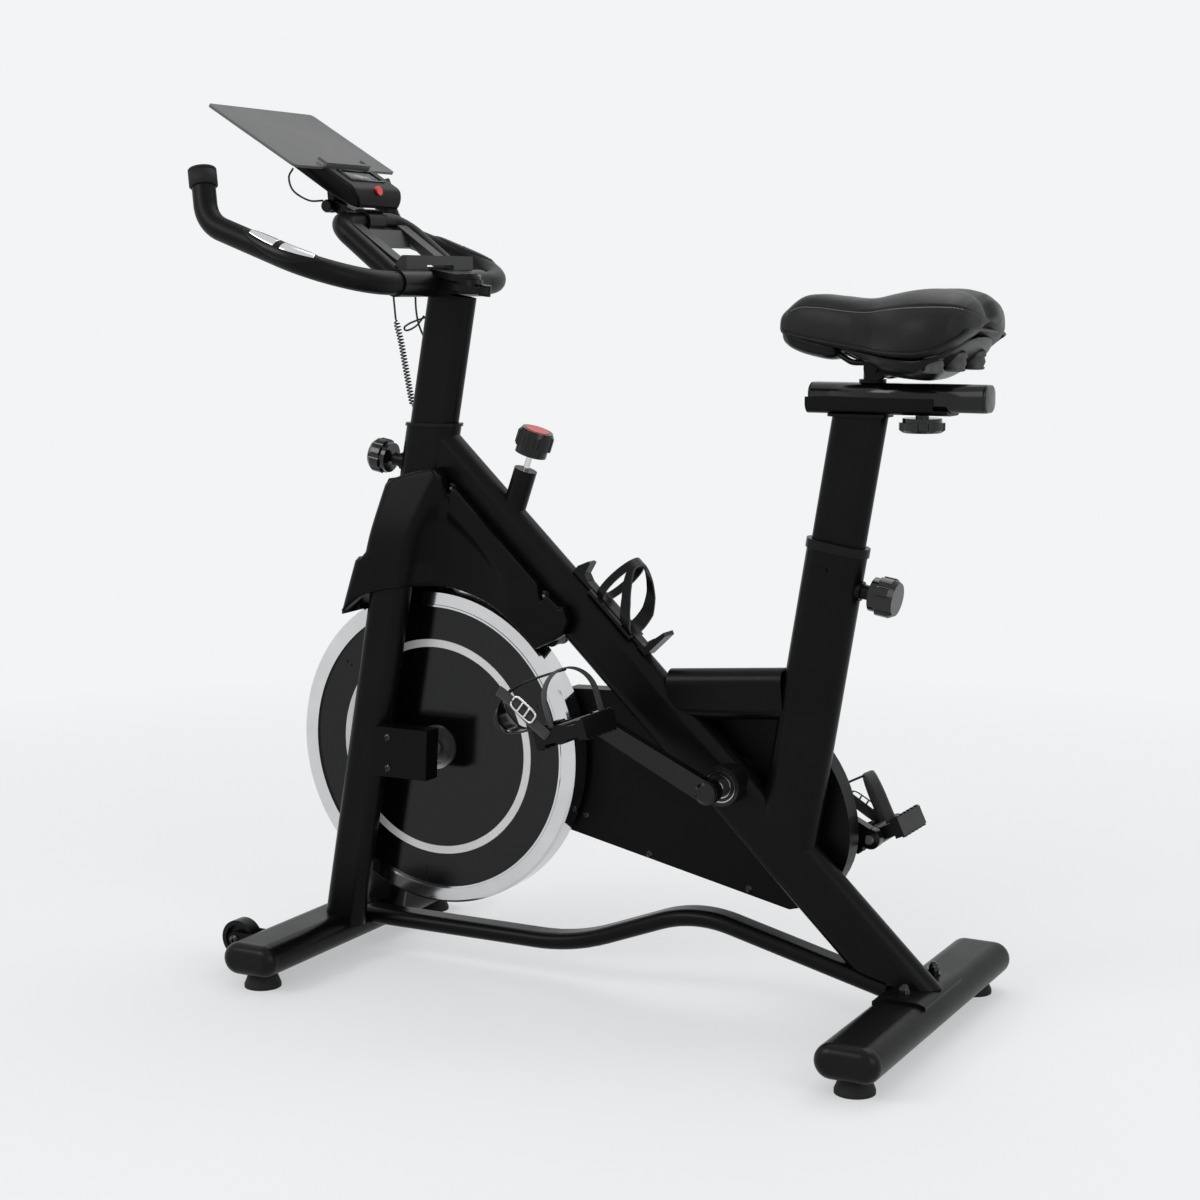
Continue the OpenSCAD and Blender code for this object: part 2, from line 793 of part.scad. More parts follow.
// one pedal body about its own axis, outer end towards -Z
module pedal_body() {
    difference() {
        union() {
            translate([0, 0, -pedal_len]) cylinder(r = 12, h = pedal_len);
            for (s = [-1, 1]) translate([s * (pedal_w / 2 - 6) - 6, -pedal_h / 2, -pedal_len]) cube([12, pedal_h, pedal_len]);
            for (z = [-pedal_len, -pedal_len / 2 - 4, -8]) translate([-pedal_w / 2, -8, z]) cube([pedal_w, 16, 8]);
            for (s = [-1, 1], i = [0 : 5]) translate([s * (pedal_w / 2 - 2.5) - 2.5, -pedal_h / 2 - 2, -pedal_len + 4 + i * 13])
                cube([5, pedal_h + 4, 6]);
        }
        translate([0, 0, -pedal_len + 3.5]) cylinder(r = 6 + run_gap, h = pedal_len);
        translate([0, 0, -4.5]) cylinder(r = 10.5, h = 10);
    }
}

// moulded toe clip: a wide scoop on the front edge of the pedal, then a narrow hoop over the toes
toe_path = concat([[-28, 13.5]], arc([-72, 39], 26, -90, -225, 10), [[-62, 68], [-30, 71.5], [4, 72.8]]);
scoop_pts = 7;                // points of the path that the wide scoop takes up
strap_turn = 30;              // the strap lies askew over the pedal

function across(p, i) = let (t = unit(p[min(i + 1, len(p) - 1)] - p[max(i - 1, 0)])) [-t[1], t[0]];

// strip of even thickness between two points of the path
module toe_band(first, last, w) {
    translate([0, 0, -pedal_len / 2]) linear_extrude(w, center = true) polygon(concat(
        [for (i = [first : last]) toe_path[i] + 1.5 * across(toe_path, i)],
        [for (i = [last : -1 : first]) toe_path[i] - 1.5 * across(toe_path, i)]
    ));
}

module toe_clip() {
    toe_band(0, scoop_pts, 46);
    toe_band(scoop_pts - 2, len(toe_path) - 1, 13);
}

strap_t = 2;
strap_w = 14;

module toe_strap() {
    translate([5, 0, -pedal_len / 2]) rotate([0, strap_turn, 0]) rotate([0, 90, 0])
        linear_extrude(strap_w, center = true) difference() {
            strap_arch(0);
            strap_arch(strap_t);
        }
    strap_tail();
}

// the strap seen along the pedal: two legs on its top face and an arch over the foot
module strap_arch(inset) {
    r = pedal_len / 2 - 2 - inset;
    translate([-r, inset > 0 ? 0 : pedal_h / 2 - 3.9]) square([2 * r, 38.5 - (inset > 0 ? 0 : pedal_h / 2 - 3.9)]);
    translate([0, 38.4]) intersection() {
        circle(r = r);
        translate([-r, 0]) square([2 * r, r]);
    }
}

// loose end of the strap in its buckle, outside the pedal
module strap_tail() {
    translate([0, 0, -pedal_len - strap_t]) linear_extrude(strap_t) looped([-16, 2], strap_w / 2, [-58, 60], strap_w / 2 - 0.1);
    translate([-38, 40, -pedal_len - strap_t - 2]) rotate(126) linear_extrude(2.2) round_rect(46, 22, 6);
}

module pedal_place(side) {
    at = side == 0 ? left_pedal : right_pedal;
    mirror([0, side, 0]) side_view(-pedal_y) translate(at) rotate(side == 0 ? left_tilt : right_tilt) children();
}

module pedal_left() {
    placed() color([0.08, 0.08, 0.08]) pedal_place(0) pedal_body();
}

module pedal_right() {
    placed() color([0.08, 0.08, 0.08]) pedal_place(1) pedal_body();
}

module toe_clip_left() {
    placed() color([0.1, 0.1, 0.1]) pedal_place(0) toe_clip();
}

module toe_clip_right() {
    placed() color([0.1, 0.1, 0.1]) pedal_place(1) toe_clip();
}

module toe_strap_left() {
    placed() color([0.05, 0.05, 0.05]) pedal_place(0) toe_strap();
}

module toe_strap_right() {
    placed() color([0.05, 0.05, 0.05]) pedal_place(1) toe_strap();
}

// ---------------------------------------------------------------- covers

// side view of the belt guard
module guard_outline(inset) {
    polygon(concat(
        arc([wheel_x, wheel_z], 46 - inset, 255, 98),
        [[-100, 366 - inset], [-86 + inset * 0.4, 372 - inset], [-75 + inset * 0.6, 384 - inset]],
        arc([155, 228], 165 - inset, 94, 0, 20),
        arc([220, 228], 100 - inset, 0, -78, 12),
        [[-120, 207 + inset]]
    ));
}

module guard_holes(shell_hole, axle_hole) {
    translate([crank_x, crank_z]) circle(r = shell_hole);
    translate([wheel_x, wheel_z]) circle(r = axle_hole);
}

guard_split = 40;
guard_screw_pts = [[-47, 219], [45.5, 177.5], [185.5, 150]];

// inner half of the belt guard, stepped back beside the flywheel
module guard_inner() {
    placed() color([0.07, 0.07, 0.07]) {
        side_view(guard_in) linear_extrude(guard_t) difference() {
            guard_outline(0);
            translate([wheel_x, wheel_z]) circle(r = step_r, $fn = 128);
            guard_holes(shell_r + 0.1, 1);
        }
        side_view(guard_in) linear_extrude(9) intersection() {
            guard_outline(0);
            translate([wheel_x, wheel_z]) ring(step_r + guard_t, step_r, $fn = 128);
        }
        side_view(guard_in + 6.5) linear_extrude(guard_t) intersection() {
            difference() {
                guard_outline(0);
                guard_holes(1, 22);
            }
            translate([wheel_x, wheel_z]) circle(r = step_r + 1, $fn = 128);
        }
        side_view(guard_in + 8.5) linear_extrude(guard_split - guard_in - 8.5) difference() {
            guard_outline(0);
            guard_outline(guard_t);
        }
        side_view(guard_in) linear_extrude(9) difference() {
            guard_outline(0);
            guard_outline(guard_t);
            translate([wheel_x, wheel_z]) circle(r = step_r, $fn = 128);
        }
    }
}

module guard_outer() {
    placed() color([0.07, 0.07, 0.07]) {
        side_view(guard_out - guard_t) linear_extrude(guard_t) difference() {
            guard_outline(0);
            guard_holes(18.5, 11);
            cover_outline(-0.3);
        }
        side_view(guard_split) linear_extrude(guard_out - guard_split - guard_t) difference() {
            guard_outline(0);
            guard_outline(guard_t);
            cover_outline(-0.3);
        }
    }
}

module guard_screws() {
    for (p = guard_screw_pts)
        side_view(guard_in) translate(p) mirror([0, 0, 1]) screw_head(4.5, 2.2);
}

// side view of the front cover: over the fork, and back under the main tube
module front_outline(inset) {
    polygon(concat(
        [[-366 + inset, 474 + inset], [-343 + inset, 545], [-327 + inset, 556], [-306 + inset, 645 - inset]],
        [[-297, 652 - inset], [-240, 667 - inset], [-219 - inset, 653 - inset], [-72 - inset, 512]],
        arc([-66, 480], 25 - inset, 45, -80, 8),
        [[-92, 450 + inset]],
        arc([wheel_x, wheel_z], wheel_r + 8 + inset, 42, 112, 16)
    ));
}

cover_y = 38;                 // half width of the front cover beside the main tube
cover_wide = 72;              // half width over the fork legs
cover_lean = -15;             // how far its upper sides lean in

// leaning plane that narrows the front cover towards its top
module cover_taper(inset) {
    translate([-500, 0, 560]) rotate([cover_lean, 0, 0]) translate([0, -cover_wide - 200 + inset, -60]) cube([500, 200, 300]);
}

module front_cover_half() {
    difference() {
        union() {
            side_view(-cover_y) linear_extrude(cover_y - 0.05) front_outline(0);
            side_view(-cover_wide) linear_extrude(cover_wide - 0.05) intersection() {
                front_outline(0);
                polygon([[-420, 400], [-268, 400], [-262, 545], [-232, 640], [-240, 700], [-420, 700]]);
            }
        }
        cover_taper(0);
        side_view(-cover_y + 3) linear_extrude(cover_y) front_outline(3);
        difference() {
            side_view(-cover_wide + 3) linear_extrude(cover_wide) intersection() {
                front_outline(3);
                polygon([[-420, 400], [-271, 400], [-265, 545], [-235, 640], [-243, 700], [-420, 700]]);
            }
            cover_taper(3);
        }
        on_head(0) linear_extrude(800) oval(tube_w + 1, tube_d + 1);
        translate([0, -leg_y, 0]) on_head(0) linear_extrude(up_head(crown_low)) oval(leg_w + 1, leg_d + 1);
        on_main(0) linear_extrude(up_main(700)) oval(main_w + 1, main_d + 3);
        on_main(0) translate([0, -25.5, 0]) cube([200, 50, 1100]);
        on_head(up_head(crown_low) - 1) translate([0, 0, 0]) linear_extrude(up_head(crown_high - crown_low) + 2)
            round_rect(leg_w + 7, 2 * leg_y + leg_d + 5, 14);
        side_view(-60) linear_extrude(120) polygon([[-372, 460], [-250, 460], [-240, 512], [-330, 512]]);
        side_view(-brake_w / 2 - 6) linear_extrude(brake_w + 12) rim_sector(wheel_r - 10, pivot_r + 15, 2, 56);
    }
}

module front_cover_left() {
    front_cover_half();
}

module front_cover_right() {
    mirror([0, 1, 0]) front_cover_half();
}

// ---------------------------------------------------------------- bottle cage

cage_x = main_w / 2 + 38;      // axis of the bottle, beside the main tube
bottle_r = 33;

// side view of the hoop and of the two arms that slope down to the back plate
module cage_bands() {
    translate([cage_x - 32, 690]) square([70, 10]);
    polygon([[112, 700], [93, 685], [75, 669], [58, 658], [40, 651],
             [40, 633], [60, 641], [77, 655], [92, 671], [105, 687], [112, 690]]);
}

// side view extruded across the bottle cage
module cage_cut(w) {
    rotate([90, 0, 0]) translate([0, 0, -w / 2]) linear_extrude(w) children();
}

module bottle_cage() {
    back = main_w / 2 + 0.1;
    placed() color([0.06, 0.06, 0.06]) on_main() {
        intersection() {
            translate([cage_x, 0, 620]) linear_extrude(100) ring(bottle_r + 3, bottle_r);
            cage_cut(90) cage_bands();
        }
        difference() {
            union() {
                cage_cut(18) polygon([[back, 604], [back, 747], [46, 747], [60, 741], [61, 737], [45, 733], [back + 5, 722], [back + 5, 604]]);
                cage_cut(34) polygon([[back, 630], [back, 712], [back + 4, 712], [back + 4, 630]]);
                cage_cut(26) polygon([[back, 602], [74, 600], [76, 605], [62, 608], [46, 617], [back, 617]]);
            }
            translate([cage_x, 0, 610]) cylinder(r = bottle_r, h = 115);
        }
    }
}

// ---------------------------------------------------------------- resistance brake

brake_pivot = 48;             // angle of the brake arm's pivot behind the vertical
pivot_r = 235;
brake_w = 26;                 // width of the felt pad and its shoe

module at_pivot(y) {
    side_view(y) translate([wheel_x + pivot_r * sin(brake_pivot), wheel_z + pivot_r * cos(brake_pivot)]) children();
}

// part of a ring about the flywheel axle, between two angles behind the vertical
module rim_sector(r_in, r_out, a0, a1) {
    translate([wheel_x, wheel_z]) polygon(concat(
        arc([0, 0], r_out, 90 - a0, 90 - a1),
        arc([0, 0], r_in, 90 - a1, 90 - a0)
    ));
}

module arm_lever() {
    difference() {
        union() {
            side_view(-11) linear_extrude(22) rim_sector(226, 234, 6, 47);
            at_pivot(-11) cylinder(r = 9, h = 22);
        }
        at_pivot(-20) cylinder(r = 4 + run_gap, h = 40);
    }
}

module brake_pad() {
    side_view(-brake_w / 2) linear_extrude(brake_w) rim_sector(wheel_r + 6, 226, 8, 34);
}

// two plates under the main tube that carry the brake arm
module brake_bracket() {
    difference() {
        union() {
            both_sides() at_pivot(-15) linear_extrude(3) union() {
                circle(r = 10);
                rotate(main_slope) translate([-10, 0]) square([20, 30]);
            }
            at_pivot(-18) cylinder(r = 4, h = 36);
        }
        main_solid();
    }
}

module brake_rod() {
    placed() color("silver") on_brake(234.3) cylinder(r = rod_r, h = 190);
}

module brake_grip() {
    on_brake(415) difference() {
        fluted_knob(24, 33, 10);
        translate([0, 0, -1]) cylinder(r = rod_r + run_gap, h = 10.4);
        translate([0, 0, 31.5]) cylinder(r = 16, h = 5);
    }
}

module brake_cap() {
    on_brake(446.5) cylinder(r = 15.9, h = 2);
}

// clamp screw with a fluted head; its tip stops just short of the post
module clamp_screw(r, far, start) {
    translate([0, 0, far]) fluted_knob(r, start, 8);
    translate([0, 0, post_w / 2 + slide_gap + 0.1]) cylinder(r = pin_r, h = far - post_w / 2 + 1);
}

module head_knob() {
    placed() color([0.08, 0.08, 0.08]) on_head(head_pin) rotate([0, -90, 0]) clamp_screw(23, 58, 26);
}

module seat_knob() {
    placed() color([0.08, 0.08, 0.08]) on_seat(seat_pin) rotate([0, 90, 0]) clamp_screw(24, 54, 31);
}

// ---------------------------------------------------------------- seat post and saddle

seat_depth = 150;             // length of the posts inside their tubes
head_depth = 100;

module seat_post() {
    placed() color("black") {
        difference() {
            on_seat(up_seat(seat_top) - seat_depth) linear_extrude(400) oval_ring(post_w, post_d, wall);
            translate([100, -100, 748]) cube([500, 200, 200]);
        }
        translate([334, 0, 748]) linear_extrude(3.4) round_rect(76, 42, 14);
    }
}

module along_x(x) {
    translate([x, 0, 0]) rotate([90, 0, 90]) children();
}

slide_mid = channel_z + 3 + 1 + slide_h / 2;

module channel_section() {
    difference() {
        translate([0, slide_mid]) round_rect(slide_w + 9, slide_h + 8, 12);
        translate([0, slide_mid]) round_rect(slide_w + 3, slide_h + 2, 9);
        translate([-50, 771]) square([100, 50]);
    }
}

module channel() {
    difference() {
        along_x(channel_x0) linear_extrude(channel_x1 - channel_x0) channel_section();
        translate([channel_x1 - 17, -50, channel_z + 6]) cube([40, 100, 40]);
        translate([knob_x, 0, channel_z - 1]) cylinder(r = 4.2, h = 20);
    }
}

module slide_liner() {
    difference() {
        along_x(channel_x0 + 1) linear_extrude(channel_x1 - channel_x0 - 19) difference() {
            translate([0, slide_mid]) round_rect(slide_w + 2.8, slide_h + 1.8, 8.9);
            translate([0, slide_mid]) round_rect(slide_w + 0.4, slide_h + 0.4, 7.2);
            translate([-50, 771]) square([100, 50]);
        }
        translate([knob_x, 0, channel_z - 1]) cylinder(r = 4.2, h = 20);
    }
}

module slide_bar() {
    along_x(slide_x0) linear_extrude(slide_x1 - slide_x0) translate([0, slide_mid]) difference() {
        round_rect(slide_w, slide_h, 7);
        round_rect(slide_w - 5, slide_h - 5, 4.5);
    }
}

module slider_caps() {
    translate([0, 0, slide_mid]) for (s = [[slide_x0 - 3, -1], [slide_x1, 1]]) {
        along_x(s[0]) linear_extrude(3) round_rect(slide_w, slide_h, 7);
        along_x(s[0] - s[1] * 12 + (s[1] < 0 ? -9 : 0)) linear_extrude(12) round_rect(slide_w - 5.2, slide_h - 5.2, 4.4);
    }
}

module slider_knob() {
    placed() color([0.08, 0.08, 0.08]) translate([knob_x, 0, channel_z - 3.5]) mirror([0, 0, 1]) {
        fluted_knob(27, 17, 8);
        mirror([0, 0, 1]) cylinder(r = 8, h = 3);
        mirror([0, 0, 1]) cylinder(r = 4, h = 3.5 + slide_mid - slide_h / 2 - channel_z - 0.2);
    }
}

// seat clamp, its pillar and cross bolt
module seat_clamp() {
    top = slide_mid + slide_h / 2;
    {
        translate([saddle_x, 0, top]) cylinder(r = 11, h = 28);
        translate([saddle_x, 0, top]) cylinder(r = 16, h = 4);
        side_view(-17) translate([saddle_x + 14, 806]) cylinder(r = 12, h = 34);
        both_sides() side_view(-31) translate([saddle_x + 14, 806]) cylinder(r = 14, h = 13);
        side_view(-36) translate([saddle_x + 14, 806]) cylinder(r = 5, h = 72);
    }
}

rail_r = 3.5;

module saddle_rails() {
    both_sides()
        bent([[286, -8, 834], [332, -24, 812], [400, -24, 812], [432, -24, 824]], [20, 20], 1.02) circle(r = rail_r);
}

// [distance back, half width, lowest edge, highest point] of the saddle
saddle_rings = [
    [0, 4, 856, 868], [5, 15, 846, 878], [14, 23, 841, 886], [30, 29, 835, 891], [55, 33, 829, 892],
    [80, 37, 825, 890], [107, 43, 821, 888], [130, 56, 818, 889], [152, 74, 815, 893], [176, 90, 813, 897],
    [204, 98, 813, 899], [228, 96, 820, 897], [246, 84, 834, 890], [256, 62, 846, 880], [261, 30, 856, 868]
];

function saddle_scale(w) = w * saddle_w / 196;

// closed skin through equal rings of points
module skin(rings) {
    n = len(rings[0]);
    m = len(rings);
    polyhedron(
        points = [for (r = rings, p = r) p],
        faces = concat(
            [[for (i = [0 : n - 1]) i]],
            [for (j = [0 : m - 2], i = [0 : n - 1]) let (k = (i + 1) % n) [j * n + i, (j + 1) * n + i, (j + 1) * n + k]],
            [for (j = [0 : m - 2], i = [0 : n - 1]) let (k = (i + 1) % n) [j * n + i, (j + 1) * n + k, j * n + k]],
            [[for (i = [n - 1 : -1 : 0]) (m - 1) * n + i]]
        )
    );
}

// half round over the top, with a shallow hollow underneath
function cushion_ring(x, w, lo, hi) = concat(
    [for (a = [0 : 12 : 180]) let (c = cos(a), s = sin(a))
        [x, saddle_scale(w) * sign(c) * pow(abs(c), 0.8), lo + (hi - lo) * (0.2 + 0.8 * pow(s, 0.7)) * (s > 0 ? 1 : 1)]],
    [[x, -saddle_scale(w) * 0.94, lo], [x, -saddle_scale(w) * 0.8, lo + 4], [x, 0, lo + min(10, (hi - lo) * 0.3)],
     [x, saddle_scale(w) * 0.8, lo + 4], [x, saddle_scale(w) * 0.94, lo]]
);

module saddle_cushion() {
    placed() color([0.12, 0.12, 0.12]) skin([for (r = saddle_rings) cushion_ring(nose_x + r[0], r[1], r[2], r[3])]);
}

function pan_ring(x, w, lo) = let (h = saddle_scale(w) * 0.78) [
    [x, h, lo + 3.5], [x, 0, lo + 9], [x, -h, lo + 3.5], [x, -h, lo], [x, 0, lo + 5], [x, h, lo]
];

// moulded pan under the cushion
module pan() {
    placed() color([0.05, 0.05, 0.05])
        skin([for (i = [3 : 11]) let (r = saddle_rings[i]) pan_ring(nose_x + r[0], r[1], r[2])]);
}

// rubber springs between the pan and the rails
module saddle_springs() {
    both_sides() {
        translate([462, -40, 802]) cylinder(r = 13, h = 22);
        translate([448, -76, 798]) cylinder(r = 13, h = 18);
    }
}

// ---------------------------------------------------------------- handlebar

post_head = 890;              // underside of the block on top of the post
bar_mid = [bar_x, 0, bar_z];
corner = [bar_x, -bar_y, bar_z - 1];
corner_mid = [bar_x, 0, corner[2]];
horn = [horn_x, -bar_y + 3, horn_z];

function mirrored(p) = [p[0], -p[1], p[2]];

left_tip = [horn_end[0], -horn_end[1], horn_end[2]];
bar_pts = [left_tip, horn, corner, mirrored(corner), mirrored(horn), mirrored(left_tip)];
loop_x = -359;                // front of the inner loop
loop_z = 983;
loop_pts = [[bar_x - 8, -78, bar_z], [loop_x, -78, loop_z], [loop_x, 78, loop_z], [bar_x - 8, 78, bar_z]];

module bar_line(r) {
    translate(corner_mid) rotate([90, 0, 0]) translate([0, 0, -110]) cylinder(r = r, h = 220);
}

module handlebar_post() {
    placed() color("black") difference() {
        on_head(up_head(head_top) - head_depth) linear_extrude(up_head(post_head) - up_head(head_top) + head_depth)
            oval_ring(post_w, post_d, wall);
        bar_line(bar_r + 2.6);
        translate([-300, -50, post_head - 0.1]) cube([140, 100, 40]);
    }
}

module post_head() {
    difference() {
        union() {
            translate([-229, 0, post_head]) linear_extrude(18) round_rect(post_w + 12, post_d + 18, 20);
            translate([-229, 0, post_head + 18]) rotate([0, 10, 0]) translate([0, 0, 2]) linear_extrude(9)
                round_rect(post_w + 4, post_d + 30, 28);
            translate([-229, 0, post_head + 12]) linear_extrude(14) round_rect(post_w, post_d + 12, 18);
        }
        bar_line(bar_r + 2.6);
        lever_pivot() translate([0, 0, -0.3]) cylinder(r = 8.4, h = 20);
    }
}

// pivot of the locking lever, behind the top of the post
module lever_pivot() {
    on_head(up_head(post_head) + 6) translate([post_w / 2 + 13, 0, 0]) children();
}

module outer_bar() {
    bent(bar_pts, [45, bar_bend, bar_bend, 45]) ring(bar_r, bar_r - 2.5);
}

module bar_sleeve() {
    translate(corner_mid + [0, 103, 0]) rotate([90, 0, 0]) linear_extrude(206)
        ring(bar_r + 2.5, bar_r + 0.05);
}

module loop_tube(r) {
    bent(loop_pts, [32, 32]) circle(r = r);
}

module inner_loop() {
    difference() {
        loop_tube(13);
        bar_line(bar_r + 2.6);
    }
}

module bar_ends() {
    both_sides() aim(left_tip, horn) difference() {
        translate([0, 0, -2]) cylinder(r = bar_r + 3, h = 24);
        cylinder(r = bar_r + 0.05, h = 40);
    }
}

module pad_place(far) {
    both_sides() aim(corner, horn) translate([0, 0, far]) rotate(153) rotate([0, 90, 0]) children();
}

module lens(l, w) {
    r = (l * l + w * w) / (4 * w);
    intersection_for(s = [-1, 1]) translate([0, s * (r - w / 2)]) circle(r = r);
}

module pulse_bezels() {
    intersection() {
        pad_place(121) linear_extrude(40) lens(78, 36);
        both_sides() aim(corner, horn) linear_extrude(200) ring(bar_r + 2.4, bar_r + 0.05);
    }
}

module pulse_plates() {
    intersection() {
        pad_place(121) linear_extrude(40) difference() {
            lens(66, 26);
            square([8, 40], center = true);
        }
        both_sides() aim(corner, horn) linear_extrude(200) ring(bar_r + 3, bar_r + 2.45);
    }
}

// lever that locks the handlebar in its head
module clamp_lever() {
    placed() color([0.1, 0.1, 0.1]) {
        lever_pivot() cylinder(r = 8, h = 14);
        on_head(up_head(post_head) + 9) linear_extrude(8) intersection() {
            translate([post_w / 2 - post_d / 2, 0]) ring(35, 30);
            translate([10, -60]) square([80, 58]);
        }
    }
}

// sloping rails and rear ledge of the tray
module rail_side() {
    polygon([[-262, 912], [-262, 927], [-280, 938], [-340, 980], [-344, 974], [-286, 928], [-276, 912]]);
}

module handlebar_tray() {
    placed() color([0.25, 0.25, 0.25]) difference() {
        union() {
            both_sides() side_view(-64) linear_extrude(22) rail_side();
            side_view(-80) linear_extrude(160) polygon([[-264, 912], [-247, 912], [-247, 939], [-254, 939], [-264, 929]]);
            side_view(-43) linear_extrude(86) polygon([[-322, 949], [-336, 971], [-333, 973], [-319, 951]]);
        }
        bar_line(bar_r + 2.6);
        loop_tube(13.1);
        translate([-290, -post_d / 2 - 17, post_head]) cube([80, post_d + 34, 37]);
    }
}

// ---------------------------------------------------------------- console

pivot_console = [-404, 0, 1004];

module bracket_body() {
    difference() {
        union() {
            side_view(-18) translate([loop_x, loop_z]) cylinder(r = 17, h = 36);
            side_view(-18) linear_extrude(36) polygon([[-373, 982], [-363, 996], [-396, 1010.5], [-408, 1002]]);
            side_view(-18) translate([pivot_console[0], pivot_console[2]]) cylinder(r = 8.5, h = 36);
        }
        side_view(-30) translate([loop_x, loop_z]) cylinder(r = 13.05, h = 60);
        side_view(-12) translate([pivot_console[0], pivot_console[2]]) cylinder(r = 12.5, h = 24);
        side_view(-30) translate([pivot_console[0], pivot_console[2]]) cylinder(r = 3.2, h = 60);
    }
}

module console_knob() {
    side_view(-18.2) translate([pivot_console[0], pivot_console[2]]) {
        mirror([0, 0, 1]) fluted_knob(8.5, 12, 6);
        cylinder(r = 3, h = 42);
        translate([0, 0, 36.4]) cylinder(r = 5.5, h = 4, $fn = 6);
    }
}

module console_profile(inset) {
    polygon([
        [-385, 1052.5 - inset], [-343 - inset, 1027 - inset * 0.5], [-338 - inset, 1012], [-341 - inset, 999 + inset],
        [-358, 1005 + inset], [-385, 1021 + inset], [-437, 1054 + inset], [-473, 1082], [-475, 1099 - inset],
        [-393, 1050 - inset]
    ]);
}

module console_case() {
    difference() {
        union() {
            intersection() {
                side_view(-55) linear_extrude(110) console_profile(0);
                along_x(-600) linear_extrude(400) polygon([[-41, 990], [-55, 1022], [-55, 1110], [55, 1110], [55, 1022], [41, 990]]);
            }
            side_view(-11.9) linear_extrude(23.8) polygon([[-397, 998], [-412, 1001], [-416, 1045], [-392, 1030]]);
        }
        side_view(-40) translate([pivot_console[0], pivot_console[2]]) cylinder(r = 3 + run_gap, h = 80);
        on_panel() translate([0, -24, -1.5]) linear_extrude(10) square([70, 22], center = true);
        button_place() translate([0, 0, -6]) cylinder(r = 6.4, h = 20);
    }
}

module console_screen() {
    on_panel() translate([0, -24, -1.4]) linear_extrude(0.9) square([69.6, 21.6], center = true);
}

// local X runs to the rider's right, local Y up the panel, local Z out of it
module on_panel() {
    translate(panel_low) rotate([0, panel_tilt, 0]) rotate([0, 0, 90]) children();
}

module media_panel() {
    placed() color([0.35, 0.35, 0.35]) on_panel() {
        translate([0, panel_len / 2, -panel_t]) linear_extrude(panel_t) round_rect(panel_w, panel_len, 6);
        translate([-50, -1, 0]) cube([100, 4, 7]);
        for (x = [-50, 46]) translate([x, 3, 3]) cube([4, 12, 4]);
    }
}

// local Z points out of the console's rear face
module button_place() {
    translate([-341.5, 0, 1023]) rotate([0, 78, 0]) children();
}

module red_button() {
    placed() color("red") button_place() translate([0, 0, -3]) cylinder(r = 6.3, h = 5.5);
}

// ---------------------------------------------------------------- cords

// smooth route through a few points
function between(p, i, t) = let (
    a = p[max(i - 1, 0)], b = p[i], c = p[i + 1], d = p[min(i + 2, len(p) - 1)]
) 0.5 * (2 * b + (c - a) * t + (2 * a - 5 * b + 4 * c - d) * t * t + (3 * b - a - 3 * c + d) * t * t * t);
function smooth(p, n) = concat([for (i = [0 : len(p) - 2], k = [0 : n - 1]) between(p, i, k / n)], [p[len(p) - 1]]);
function heading(p, i) = unit(p[min(i + 1, len(p) - 1)] - p[max(i - 1, 0)]);

module cord(route, r, steps, sides = 8) {
    p = smooth(route, steps);
    skin([for (i = [0 : len(p) - 1]) let (
        t = heading(p, i),
        e = unit(cross([0.1, 1, 0.05], t)),
        f = cross(t, e)
    ) [for (k = [0 : sides - 1]) p[i] - r * (cos(k * 360 / sides) * e - sin(k * 360 / sides) * f)]]);
}

coil_route = [[-317, 0, 857], [-309.5, 0, 830], [-303.5, 0, 800], [-297.5, 0, 770], [-292, 0, 744]];
lead_route = [[-319, 0, 912], [-320, 0, 890], [-318.5, 0, 872], [-317, 0, 857]];
drop_route = [[-286, 0, 905], [-286, 0, 889], [-285.5, 0, 872], [-283, 0, 856], [-279, 0, 845], [-274, 0, 835]];
loop_route = [[-270, -5, 862], [-279, -6, 851], [-289, -6, 845], [-299, -4, 843], [-303.5, 0, 847],
              [-298, 4, 852], [-288, 6, 856], [-278, 6, 859], [-270.5, 5, 862]];
jack_route = [[-435, -57.5, 1052], [-441, -59, 1040], [-437, -55, 1023], [-422, -42, 1011], [-410, -27, 1011]];

module console_leads() {
    placed() color([0.03, 0.03, 0.03]) {
        cord(coil_route, 3, 5);
        cord(lead_route, 1.3, 4);
        cord(drop_route, 1.3, 4);
        cord(loop_route, 1.3, 4);
        cord(jack_route, 1.3, 5);
    }
}

module frame_screws() {
    placed() color("silver") {
        dome_nuts();
        wheel_bolts();
        cover_screws();
        guard_screws();
    }
}

module fork() {
    placed() color("black") {
        fork_leg_left();
        fork_leg_right();
        fork_crown();
        axle_plates();
    }
}

module crank_shell() {
    placed() color("black") {
        bearing_tube();
        crank_bearings();
    }
}

module frame_bosses() {
    placed() color("black") {
        brake_boss();
        pin_barrels();
        brake_bracket();
    }
}

module post_collars() {
    placed() color([0.08, 0.08, 0.08]) {
        head_collar();
        seat_collar();
    }
}

module flywheel_hub() {
    placed() color("silver") {
        wheel_hub();
        flywheel_web();
        flywheel_bearings();
        small_pulley();
    }
}

module flywheel_covers() {
    placed() color("black") {
        cover_discs();
        flywheel_stripes();
        flywheel_screws();
    }
}

module crank_arms() {
    placed() color([0.08, 0.08, 0.08]) {
        crank_left();
        crank_right();
        crank_caps();
    }
}

module crank_spindles() {
    placed() color("silver") {
        crank_spindle();
        pedal_spindles();
    }
}

module front_cover() {
    placed() color([0.09, 0.09, 0.09]) {
        front_cover_left();
        front_cover_right();
    }
}

module brake_arm() {
    placed() color([0.3, 0.3, 0.3]) {
        arm_lever();
        brake_pad();
    }
}

module brake_knob() {
    placed() color([0.08, 0.08, 0.08]) {
        brake_grip();
        brake_cap();
    }
}

module slider_channel() {
    placed() color("black") {
        channel();
        slide_liner();
    }
}

